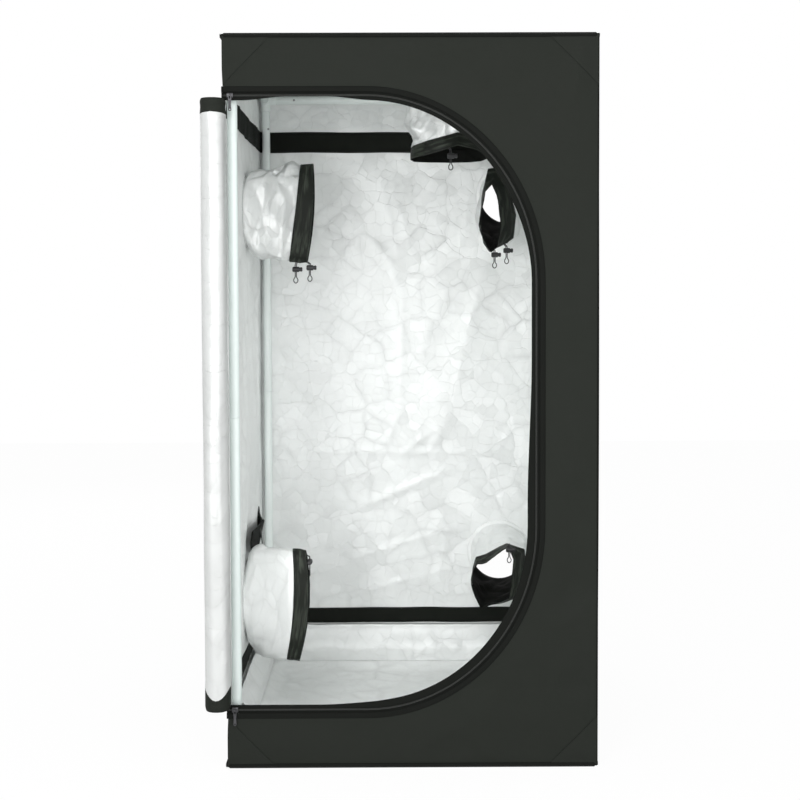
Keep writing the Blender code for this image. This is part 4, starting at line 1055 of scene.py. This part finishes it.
def build_tray():
    half, low, high = TRAY_HALF, 0.0020, TRAY_TOP
    ring = Path(ring_of(half, TRAY_CORNER, 0, 4))

    def place(s, t):
        spot, along = ring.at(s)
        inward = Vector((-along.y, along.x, 0))
        z = low + (high - low) * t
        crumple = ridges(spot.x + spot.y, z, 70.0, 0.05, 0.0022) + swell(spot.x - spot.y, z, 72.0, 0.1, 0.002)
        free = smooth_share(t * 3) * 0.8
        dip = 0.0015 * noise.noise(Vector((spot.x * 14, spot.y * 14, 3)))
        open_run = smooth_share((half - 0.030 - min(abs(spot.x), abs(spot.y))) / TRAY_EASE)
        lean = TRAY_LEAN * smooth_share((z - 0.050) / 0.060) * open_run
        return Vector((spot.x, spot.y, z + dip * t)) + inward * ((0.0022 + crumple) * free - lean)

    def rounded(value, past):
        """The place on the tray's floor, drawn in where it is past the round corner."""
        straight = half - TRAY_CORNER
        return math.copysign(straight + (abs(value) - straight) * TRAY_CORNER / past, value)

    def ground(s, t):
        u, v = (2 * s - 1) * half, (2 * t - 1) * half
        from_edge = half - max(abs(u), abs(v))
        corner = math.hypot(max(0, abs(u) - half + TRAY_CORNER), max(0, abs(v) - half + TRAY_CORNER))
        if corner > TRAY_CORNER:
            u, v = rounded(u, corner), rounded(v, corner)
        rise = max(0.0, ridges(u, v, 80.0, 0.13, 0.0045) + swell(u, v, 83.0, 0.25, 0.002))
        bend = TRAY_BEND * smooth_share(1 - from_edge / TRAY_EASE) ** 2
        return Vector((u, v, low + bend + rise * smooth_share(from_edge / TRAY_EASE)))

    wall = bent_grid(420, 16, place, (ring.length, high - low), True)
    bmesh.ops.recalc_face_normals(wall, faces=wall.faces)
    bmesh.ops.reverse_faces(wall, faces=wall.faces)
    base = bent_grid(90, 90, ground, (0.753, 0.753))
    parts = [settled(walled(new_object("tray", work, []), 0.001)) for work in (wall, base)]
    obj = joined("floor_tray_film", parts, [FILM])
    fit(obj, "tent", ["floor_tray"])
    edge = [place(step / 400, 1) + Z * 0.0004 for step in range(401)]
    piping("tray_edge_piping", edge, 0.0011, FILM_SOFT, True)


# Zip
TAPE_OUTSET, TAPE_FLAT = 0.0115, 0.023
HEM_OUTSET, HEM_FLAT = 0.0225, 0.0105


def build_zip():
    inside = -INNER + GAP
    tape = strip_on_door("zip_tape_cloth", TAPE_OUTSET, TAPE_FLAT, 0.0006, 0.0006, CLOTH_BIND_AND_SLEEVE_SHADE, inside, 1.0)
    fit(tape, "tent", ["zip_tape"])
    flat = (TAPE_FLAT, Path(doorway_edge(TAPE_OUTSET)).length)
    work = bmesh.new()
    bmesh.ops.create_cube(work, size=1, matrix=Matrix.Diagonal((0.0011, 0.0032, 0.0030, 1)))
    bevel = {"offset": 0.0004, "segments": 1, "profile": 0.5, "affect": "EDGES", "material": -1}
    bmesh.ops.bevel(work, geom=work.edges[:], **bevel)
    run = along_door(COIL_OUTSET, -INNER - 0.0011, -HALF + 0.003)
    teeth = repeated("zip_coil_teeth", new_object("tooth", work, [COIL]), run, 0.0019)
    fit(teeth, "tent", ())
    for name, outset in (("in", -0.0012), ("out", 0.0012)):
        run = along_door(COIL_OUTSET + outset, -INNER - 0.0024, -HALF + 0.003)
        piping(f"zip_coil_core_{name}", run, 0.0006, COIL, resolution=2)
    hem = strip_on_door("doorway_hem", HEM_OUTSET, HEM_FLAT, 0.0012, 0.0012, CLOTH_BIND_AND_SLEEVE_SHADE, -HALF)
    fit(hem, "tent", ())
    flat = (HEM_FLAT, Path(doorway_edge(HEM_OUTSET)).length)
    piping("doorway_piping", along_door(0.0176, -HALF - 0.0012), 0.0012, CLOTH_BIND_AND_SLEEVE_SHADE)
    sewn("doorway_stitches", [along_door(0.0200, -HALF - 0.0014), along_door(0.0262, -HALF - 0.0013)])
    dress(["zip_slider_upper", "zip_slider_lower", "zip_pull_upper", "zip_pull_lower"], ZIP_METAL)


# Rolled-up door
HINGE = Vector((-0.40525, -0.40525))
ROLL = Vector((-0.4212, -0.4385))
ROLL_OUTSIDE = 0.02750
ROLL_CORE = 0.0065
ROLL_TURNS = 6
ROLL_FLAT = (0.674, 1.314)
ROLL_FOOT, ROLL_HEAD = 0.141, 1.455
FOOT_SHARE, HEAD_SHARE = 0.12, 0.90


def roll_line():
    """Where the cloth from the hinge meets the roll, and the angle of that place round the roll."""
    to_centre = ROLL - HINGE
    spread = math.asin(ROLL_OUTSIDE / to_centre.length)
    away = math.atan2(to_centre.y, to_centre.x) + spread
    tangent = math.sqrt(to_centre.length**2 - ROLL_OUTSIDE**2)
    touch = HINGE + Vector((math.cos(away), math.sin(away))) * tangent
    return touch, math.atan2(touch.y - ROLL.y, touch.x - ROLL.x)


def build_door():
    touch, start = roll_line()
    low, high = ROLL_FOOT, ROLL_HEAD
    turns = 150
    tail = 6

    def place(s, t):
        index = s * (turns + tail)
        depth = max(0.0, index - tail) / turns
        angle = start - 2 * math.pi * ROLL_TURNS * depth
        front = Vector((math.cos(angle), math.sin(angle)))
        spot = ROLL + (ROLL_OUTSIDE + (ROLL_CORE - ROLL_OUTSIDE) * depth) * front
        if index < tail:
            spot = HINGE.lerp(touch, index / tail)
        first_turn = smooth_share(1 - depth * ROLL_TURNS / 1.2) * smooth_share(index / tail)
        head = high - 0.036 + 0.004 * max(0.0, -front.y)
        foot = low + 0.026 + 0.026 * front.x * front.x
        if t < FOOT_SHARE:
            z = low + (foot - low) * t / FOOT_SHARE
        elif t > HEAD_SHARE:
            z = high - (high - head) * (1 - t) / (1 - HEAD_SHARE)
        else:
            z = foot + (head - foot) * (t - FOOT_SHARE) / (HEAD_SHARE - FOOT_SHARE)
        streak = math.sin(3 * angle + 2.2 * math.sin(4.1 * z)) + 0.6 * math.sin(7 * angle + 5 * z)
        soft = 0.0011 * streak + 0.0006 * math.sin(13 * angle + 3 * math.sin(3 * z))
        soft *= smooth_share(min(z - low, high - z) / 0.12)
        soft += 0.0012 * noise.noise(Vector((front.x * 1.5, front.y * 1.5, z * 5)))
        soft -= 0.0016 * math.exp(-(((high - 0.018 - z) / 0.008) ** 2))
        soft += 0.0010 if t > HEAD_SHARE or t < FOOT_SHARE else 0.0
        soft -= 0.004 * (smooth_share(1 - (high - z) / 0.006) + smooth_share(1 - (z - low) / 0.008))
        spot = spot + front * soft * first_turn
        return Vector((spot.x, spot.y, z))

    work = bent_grid(turns + tail, 84, place, ROLL_FLAT)
    layer = work.loops.layers.uv.active
    for face in work.faces:
        along = sum((loop[layer].uv.y for loop in face.loops), 0.0) / len(face.loops) / ROLL_FLAT[1]
        face.material_index = 1 if along > HEAD_SHARE or along < FOOT_SHARE else 0
    bmesh.ops.reverse_faces(work, faces=work.faces)
    # Its film side takes the darker copy of the film, painted shade
    obj = new_object("rolled_door_cloth", work, [FILM_ROLL_PAINTED_DARKER, CLOTH_OUT])
    walled(obj, 0.0014, 0.0, even=False)
    fit(obj, "door_roll", ["door_roll"])


# Duct sleeves
def oval(across, up, shift, depth, lean, curl, count=24):
    """A slack mouth: a ring of points, each as (across, up, depth) from the port's middle."""
    ring = []
    for step in range(count):
        angle = 2 * math.pi * step / count
        side, rise = math.cos(angle), math.sin(angle)
        rise = math.copysign(abs(rise) ** 0.8, rise)
        ring.append((shift[0] + across * side, shift[1] + up * rise, depth + lean * rise - curl * rise * rise))
    return ring


WAYS = {"left": (Y, Z, X), "back": (X, Z, -Y), "roof": (X, Y, -Z)}


class Sleeve:
    """A cloth tube from a round port to a slack mouth: film, then a black cuff with a drawstring."""

    def __init__(self, name, wall, port, radius, root, rim, flare, crumple, seed, film=True):
        self.name, self.wall, self.port, self.radius = name, wall, Vector(port), radius
        self.root, self.rim = [Vector(point) for point in root], [Vector(point) for point in rim]
        self.flare, self.crumple, self.seed, self.film = flare, crumple, seed, film
        self.half = []
        for axis in (0, 1):
            reach = [point[axis] for point in self.root]
            self.half.append(max(0.2 * radius, (max(reach) - min(reach)) / 2))

    def ring(self, points, s):
        index = (s % 1.0) * len(points)
        low = int(index) % len(points)
        return points[low].lerp(points[(low + 1) % len(points)], index - int(index))

    def spot(self, s, share, rise=0.0):
        """Share runs from 0 at the wall to 1 at the cuff's seam and 2 at its mouth."""
        angle = 2 * math.pi * s
        cosine, sine = math.cos(angle), math.sin(angle)
        root = self.ring(self.root, s)
        if share > 1:
            place = root.lerp(self.ring(self.rim, s), share - 1)
        else:
            share = max(share, 0.0)
            powers = self.flare[0], self.flare[1 if sine > 0 else 2]
            eased = [1 - (1 - share) ** power for power in powers]
            base = Vector((self.radius * cosine, self.radius * sine, 0.0015))
            place = Vector([base[axis] + (root[axis] - base[axis]) * eased[axis] for axis in (0, 1)] + [0.0])
            place.z = base.z + (root.z - base.z) * share
        sizes = [self.radius + (half - self.radius) * min(share, 1) for half in self.half]
        out = Vector((cosine / sizes[0], sine / sizes[1], 0)).normalized() * rise
        side, up, inward = WAYS[self.wall]
        return self.port + side * (place.x + out.x) + up * (place.y + out.y) + inward * place.z

    def folds(self, s, share):
        """Flat facets and sharp creases, none at the wall."""
        angle = 2 * math.pi * s
        waver = noise.noise(Vector((math.cos(angle) * 1.4, math.sin(angle) * 1.4, share * 2 + self.seed)))
        coarse, fine, height, small = self.crumple
        rise = height * facets(s * coarse + 0.5 * waver, share * 3.2 + waver, self.seed, coarse)
        rise += small * facets(s * fine - waver, share * 8 + 0.7 * waver, self.seed + 5, fine)
        return rise * smooth_share(share * 6) * (0.3 + 0.7 * smooth_share((1 - share) * 5))

    def tube_place(self, s, t):
        if t < 0.08:
            lap = 1 - t / 0.08
            _, _, inward = WAYS[self.wall]
            return self.spot(s, 0, 0.010 * lap) - inward * 0.0010 * lap
        share = (t - 0.08) / 0.92
        return self.spot(s, share, self.folds(s, share))

    def cuff_place(self, s, t):
        puff = 0.0012 + 0.0010 * math.sin(math.pi * t)
        puff += 0.0024 * facets(s * 26, t * 1.4 + 0.2, self.seed + 9, 26) * math.sin(math.pi * (0.15 + 0.7 * t))
        puff += 0.0026 * facets(s * 14 + 0.6 * t, t * 0.9, self.seed + 4, 14)
        return self.spot(s, 1 + t, puff)


def flat_cut(maker, low, high):
    """The unfolded cloth's mean girth, and the length that gives its area."""
    count, steps = 48, 8
    shares = [low + (high - low) * row / steps for row in range(steps + 1)]
    rings = [[maker(step / count, share) for step in range(count)] for share in shares]
    girth = sum((b - a).length for ring in rings for a, b in zip(ring, ring[1:] + ring[:1])) / (steps + 1)
    area = 0.0
    for ring, after in zip(rings, rings[1:]):
        for index in range(count):
            near, far = ring[index - 1], after[index]
            area += (far - near).cross(after[index - 1] - ring[index]).length / 2
    return girth, area / girth


def points_of(*numbers):
    """Points from their numbers in millimetres; a sleeve's ring has across, up and depth of each."""
    return [tuple(number / 1000 for number in numbers[at:at + 3]) for at in range(0, len(numbers), 3)]


SLEEVES = [
    Sleeve("sleeve_left_upper", "left", (-0.4045, 0.053592, 1.245), 0.080,
           oval(0.030, 0.121, (0.036, -0.003), 0.1216, 0.015, 0.0026),
           oval(0.019, 0.123, (0.040, -0.003), 0.166, 0.0085, 0.0085),
           (1.3, 14.0, 8.0), (8, 20, 0.0190, 0.0045), 3.0),
    Sleeve("sleeve_left_lower", "left", (-0.4045, -0.005684, 0.285), 0.083,
           oval(0.030, 0.134, (-0.082, 0.003), 0.1237, 0.0082, 0.0109),
           oval(0.020, 0.135, (-0.095, 0.003), 0.1610, 0.0083, 0.0160),
           (1.2, 14.0, 14.0), (6, 16, 0.0100, 0.0008), 9.0),
    Sleeve("sleeve_roof", "roof", (0.077952, 0.094192, 1.5985), 0.075,
           points_of(
            115, 0, 178, 100, 35, 184, 70, 50, 188, 30, 55, 190, -20, 50, 192, -58, 30, 193, -70, 0, 192,
            -62, -38, 190, -32, -66, 182, 12, -70, 170, 45, -66, 160, 92, -40, 168,
           ),
           points_of(
            125, 0, 218, 110, 35, 222, 80, 50, 223.5, 30, 55, 223.5, -20, 50, 223.5, -60, 30, 223.5,
            -69, 0, 222, -62, -38, 220.5, -32, -68, 216.5, 12, -75, 205, 45, -70, 193, 95, -44, 202,
           ),
           (2.0, 2.0, 2.0), (10, 24, 0.0200, 0.0095), 15.0),
    Sleeve("sleeve_back_upper", "back", (0.28014, 0.4045, 1.310), 0.078,
           points_of(
            7, -64, 155, -8, 29, 150, -41, 62, 135, -66, 56, 150, -77, 2, 160, -86, -56, 165,
            -90, -91, 170, -83, -125, 170, -65, -157, 175, -36, -146, 172, -17, -138, 170, -1, -125, 165,
           ),
           points_of(
            -40, -40, 195, -44, -13, 190, -58, 16, 180, -78, -6, 195, -82, -40, 200, -91, -84, 205,
            -86, -118, 205, -70, -150, 207, -60, -163, 207, -46, -150, 205, -40, -118, 203,
            -39, -79, 200,
           ),
           (1.5, 1.5, 1.5), (10, 22, 0.0100, 0.0040), 21.0),
    Sleeve("sleeve_back_lower", "back", (0.254156, 0.4045, 0.320), 0.077,
           points_of(
            65, -45, 112, 62, 26, 112, 11, 42, 115, -27, 22, 115, -52, 12, 115, -71, 6, 115,
            -80, -24, 115, -82, -65, 117, -71, -94, 120, -49, -119, 120, -6, -120, 118, 49, -104, 115,
           ),
           points_of(
            21, -42, 150, 26, 4, 150, 13, 39, 150, -17, 18, 150, -45, -5, 150, -68, -6, 150,
            -80, -28, 150, -84, -63, 152, -76, -94, 155, -60, -126, 157, -25, -114, 155, 13, -98, 152,
           ),
           (1.0, 1.0, 1.0), (10, 22, 0.0100, 0.0040), 33.0),
    Sleeve("cable_sleeve", "left", (-0.4045, 0.293944, 0.430), 0.026,
           oval(0.016, 0.018, (-0.060, -0.012), 0.016, 0.004, 0.0, 12),
           points_of(
            -130, -20, 18, -160, 12, 20, -220, 18, 20, -280, 22, 18, -325, 22, 16, -325, -5, 12,
            -300, -22, 10, -260, -36, 9, -200, -52, 8, -150, -60, 8, -120, -52, 9, -115, -35, 12,
           ),
           (1.5, 1.5, 1.5), (6, 12, 0.0030, 0.0010), 41.0, False),
]
SLEEVE_WALL = 0.0012
HEM_LAP = 0.012
CUFFS = {}


def build_sleeve(item):
    sides = 128 if item.film else 60
    outer = CLOTH_CUFF
    if item.film:
        outer = FILM_SOFT if item.crumple[2] > 0.015 else FILM
    girth, long = flat_cut(item.spot, 0.02, 1)
    long += HEM_LAP
    work = bent_grid(sides, 52, item.tube_place, (girth, long), True)
    # Painted shade: the inner faces of tube and cuff take the darker binding cloth
    obj = new_object(f"{item.name}_tube", outward(work, item, 0.6), [outer, CLOTH_BIND_AND_SLEEVE_SHADE])
    walled(obj, SLEEVE_WALL, back=1, even=False)
    fit(obj, "tent", [item.name])
    cuff_flat = flat_cut(item.spot, 1.001, 2)
    work = bent_grid(sides, 14, item.cuff_place, cuff_flat, True)
    cuff = new_object(f"{item.name}_cuff", outward(work, item, 1.5), [CLOTH_CUFF, CLOTH_BIND_AND_SLEEVE_SHADE])
    walled(cuff, 0.0020, back=1, even=False)
    fit(cuff, "tent", ())
    CUFFS[item.name] = cuff
    rows = []
    for share in (0.06, 0.94):
        ring = [item.cuff_place(step / sides, share) for step in range(sides)]
        middle = sum(ring, Vector()) / sides
        rows.append([point + (point - middle).normalized() * 0.0004 for point in ring + ring[:1]])
    thread = sewn(f"{item.name}_stitches", rows)


def outward(work, item, share):
    """Faces turned away from the sleeve's own middle."""
    bmesh.ops.recalc_face_normals(work, faces=work.faces)
    count = 24
    middle = sum((item.spot(step / count, share) for step in range(count)), Vector()) / count
    near = sorted(work.faces, key=lambda face: (face.calc_center_median() - middle).length)[:400]
    votes = sum(1 if face.normal.dot(face.calc_center_median() - middle) > 0 else -1 for face in near)
    if votes < 0:
        bmesh.ops.reverse_faces(work, faces=work.faces)
    return work


# Drawstrings and cord locks: name, the sleeve, where the strings leave its cuff, the way they start, slack
LOCKS = [
    ("left_upper", "sleeve_left_upper", (-0.2490, 0.0895, 1.1174), None, 0.0),
    ("left_lower", "sleeve_left_lower", (-0.2533, -0.0966, 0.4082), X, 0.0),
    ("roof", "sleeve_roof", (0.1049, 0.0203, 1.3931), -Y, 0.0),
    ("back_upper_left", "sleeve_back_upper", (0.2280, 0.2090, 1.1519), None, 0.0),
    ("back_upper_right", "sleeve_back_upper", (0.2604, 0.2185, 1.1772), None, 0.014),
    ("back_lower", "sleeve_back_lower", (0.2693, 0.2533, 0.3689), -Y, 0.0),
]
SECOND_LOCK = Vector((-0.036, 0.004, -0.004))
CORD_RADIUS = 0.0012
CORD_STEP = 0.0022
STRAND_OFF_MIDDLE = 0.0017
LOOP_WIDE = 0.0055
LOCK_RADIUS = 0.0068
LOCK_FROM_CUFF = 0.0030
LOCK_STAND_OFF = 0.0045
LOCK_SLIDE = 0.012
STRAND_LONG = LOCK_FROM_CUFF + 2 * LOCK_RADIUS + LOCK_SLIDE


def strand_route(anchor, out, slack):
    if out is None:
        top = anchor - Z * (0.0008 + CORD_RADIUS + slack)
        return [top, top - Z * 0.0026, top - Z * STRAND_LONG / 2, top - Z * STRAND_LONG]
    off = LOCK_RADIUS + LOCK_STAND_OFF
    top = anchor + out * off - Z * off * 0.45
    start = [anchor + out * off * 0.45, anchor + out * off * 0.85 - Z * off * 0.12]
    return [*start, top, top - Z * STRAND_LONG / 2, top - Z * STRAND_LONG]


def smooth_route(points):
    """A curve through the points, in steps of about CORD_STEP."""
    ends = [2 * points[0] - points[1], *points, 2 * points[-1] - points[-2]]
    route = [points[0]]
    for a, b, c, d in zip(ends, ends[1:], ends[2:], ends[3:]):
        steps = max(1, round((c - b).length / CORD_STEP))
        for step in range(1, steps + 1):
            t = step / steps
            square, cube = 2 * a - 5 * b + 4 * c - d, 3 * b - a - 3 * c + d
            route.append((2 * b + (c - a) * t + square * t**2 + cube * t**3) / 2)
    return route


def free_cord(name, points):
    route = smooth_route(points)
    obj = curve_object(name, route, CORD_RADIUS)
    obj.data.materials.append(CORD)
    fit(obj, "tent", ())
    length = round(sum((b - a).length for a, b in zip(route, route[1:])), 4)
    start, thick = tuple(route[0]), 2 * CORD_RADIUS
    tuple(start)


def drawstring(name, sleeve, anchor, out, slack):
    strand = strand_route(anchor, out, slack)
    _, start, _, _ = CUFFS[sleeve].closest_point_on_mesh(strand[0])
    if (start - strand[0]).length > 0.003:
        strand.insert(0, start)
    apart = -Y if out == X else X
    foot, bulb = strand[-1], []
    for aside, drop in ((-0.9, 1.1), (-0.85, 2.2), (0, 2.9), (0.85, 2.2), (0.9, 1.1)):
        bulb.append(foot + apart * LOOP_WIDE * aside - Z * LOOP_WIDE * drop)
    apart = apart * STRAND_OFF_MIDDLE
    going, coming = [spot - apart for spot in strand], [spot + apart for spot in reversed(strand)]
    free_cord(f"drawstring_{name}", going + bulb + coming)


def build_cords():
    for name, sleeve, anchor, out, slack in LOCKS:
        drawstring(name, sleeve, Vector(anchor), out, slack)
        dress([f"cord_lock_{name}", f"lock_button_{name}"], PLASTIC)
    first, sleeve, anchor, out, slack = LOCKS[0]
    drawstring("left_upper_second", sleeve, Vector(anchor) + SECOND_LOCK, out, slack)
    for kind in ("cord_lock", "lock_button"):
        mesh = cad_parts[f"{kind}_{first}"].data.copy()
        mesh.transform(Matrix.Translation(SECOND_LOCK))
        fit(placed(f"{kind}_second_left_upper", mesh), "tent", ())
    hang = points_of(-390.5, 220.2, 427.5, -389, 205, 411.5, -389, 235, 367.7, -390, 250, 333.3)
    free_cord("drawstring_cable_sleeve", [Vector(point) for point in hang])


# Studio
def seen_and_lit(tree, lit, shown, share, output):
    """Shows one shader to the camera, mirrors and clear things, and lights with the other."""
    path = tree.nodes.new("ShaderNodeLightPath")
    mix = tree.nodes.new("ShaderNodeMixShader")
    seen = maths(tree, "MAXIMUM", path.outputs["Is Camera Ray"], path.outputs["Is Glossy Ray"])
    seen = maths(tree, "MAXIMUM", seen, path.outputs["Is Transmission Ray"])
    tree.links.new(maths(tree, "MULTIPLY", seen, share), mix.inputs["Fac"])
    tree.links.new(lit.outputs[0], mix.inputs[1])
    tree.links.new(shown.outputs[0], mix.inputs[2])
    tree.links.new(mix.outputs[0], tree.nodes[output].inputs["Surface"])


def build_studio():
    work = bmesh.new()
    bmesh.ops.create_grid(work, x_segments=1, y_segments=1, size=6)
    pale = Finish("pale studio floor", (0.97, 0.97, 0.97), 0.9)
    seen_and_lit(pale.tree, pale.shader, pale.tree.nodes.new("ShaderNodeEmission"), 0.95, "Material Output")
    new_object("studio_floor", work, [pale.material], False)

    world = bpy.data.worlds.new("studio")
    scene.world = world
    world.use_nodes = True
    lit = world.node_tree.nodes["Background"]
    shown = world.node_tree.nodes.new("ShaderNodeBackground")
    for source, strength in ((lit, 0.68), (shown, 1.0)):
        source.inputs["Color"].default_value = (1, 1, 1, 1)
        source.inputs["Strength"].default_value = strength
    seen_and_lit(world.node_tree, lit, shown, 1.0, "World Output")

    for name, spot, target, size, power in (
        ("front_softbox", (-0.45, -3.6, 0.85), (0.0, 0.2, 0.75), 2.0, 17),
        ("high_softbox", (-0.3, -2.7, 2.7), (0.05, 0.1, 0.2), 1.4, 26),
        ("side_softbox", (1.7, -3.3, 1.0), (-0.35, 0.2, 0.8), 2.0, 34),
        ("left_softbox", (-1.3, -3.1, 1.1), (0.45, 0.4, 0.9), 0.8, 30),
        ("rear_softbox", (-1.5, 3.2, 2.4), (0, 0, 0.8), 2.2, 25),
    ):
        lamp = bpy.data.lights.new(name, "AREA")
        lamp.size = size
        lamp.energy = power
        obj = placed(name, lamp)
        obj.location = spot
        obj.rotation_euler = (Vector(target) - Vector(spot)).to_track_quat("-Z", "Y").to_euler()


def build_camera():
    pitch, yaw, roll = (math.radians(value) for value in (-2.378, -0.253, -0.197))
    forward = Vector((-math.sin(yaw) * math.cos(pitch), math.cos(yaw) * math.cos(pitch), math.sin(pitch)))
    right = Vector((math.cos(yaw), math.sin(yaw), 0))
    up = right.cross(forward)
    right, up = right * math.cos(roll) + up * math.sin(roll), up * math.cos(roll) - right * math.sin(roll)
    data = bpy.data.cameras.new("camera")
    data.lens = 60.07
    data.sensor_width = 36.0
    data.shift_y = -0.065
    camera = placed("camera", data)
    turn = Matrix((right, up, -forward)).transposed().to_4x4()
    camera.matrix_world = Matrix.Translation((-0.0363, -3.2984, 1.042)) @ turn
    scene.camera = camera


scene.view_settings.view_transform = "Standard"
build_camera()
build_posts()
build_rails()
build_corners()
build_bars()
build_back_wall()
build_side_wall("left", -1, left_relief, PORTS["left"])
build_side_wall("right", 1, right_relief, [])
build_front_panel()
build_lids()
build_wall_seams()
build_bands()
build_tray()
build_zip()
build_door()
for sleeve in SLEEVES:
    build_sleeve(sleeve)
build_cords()
build_studio()
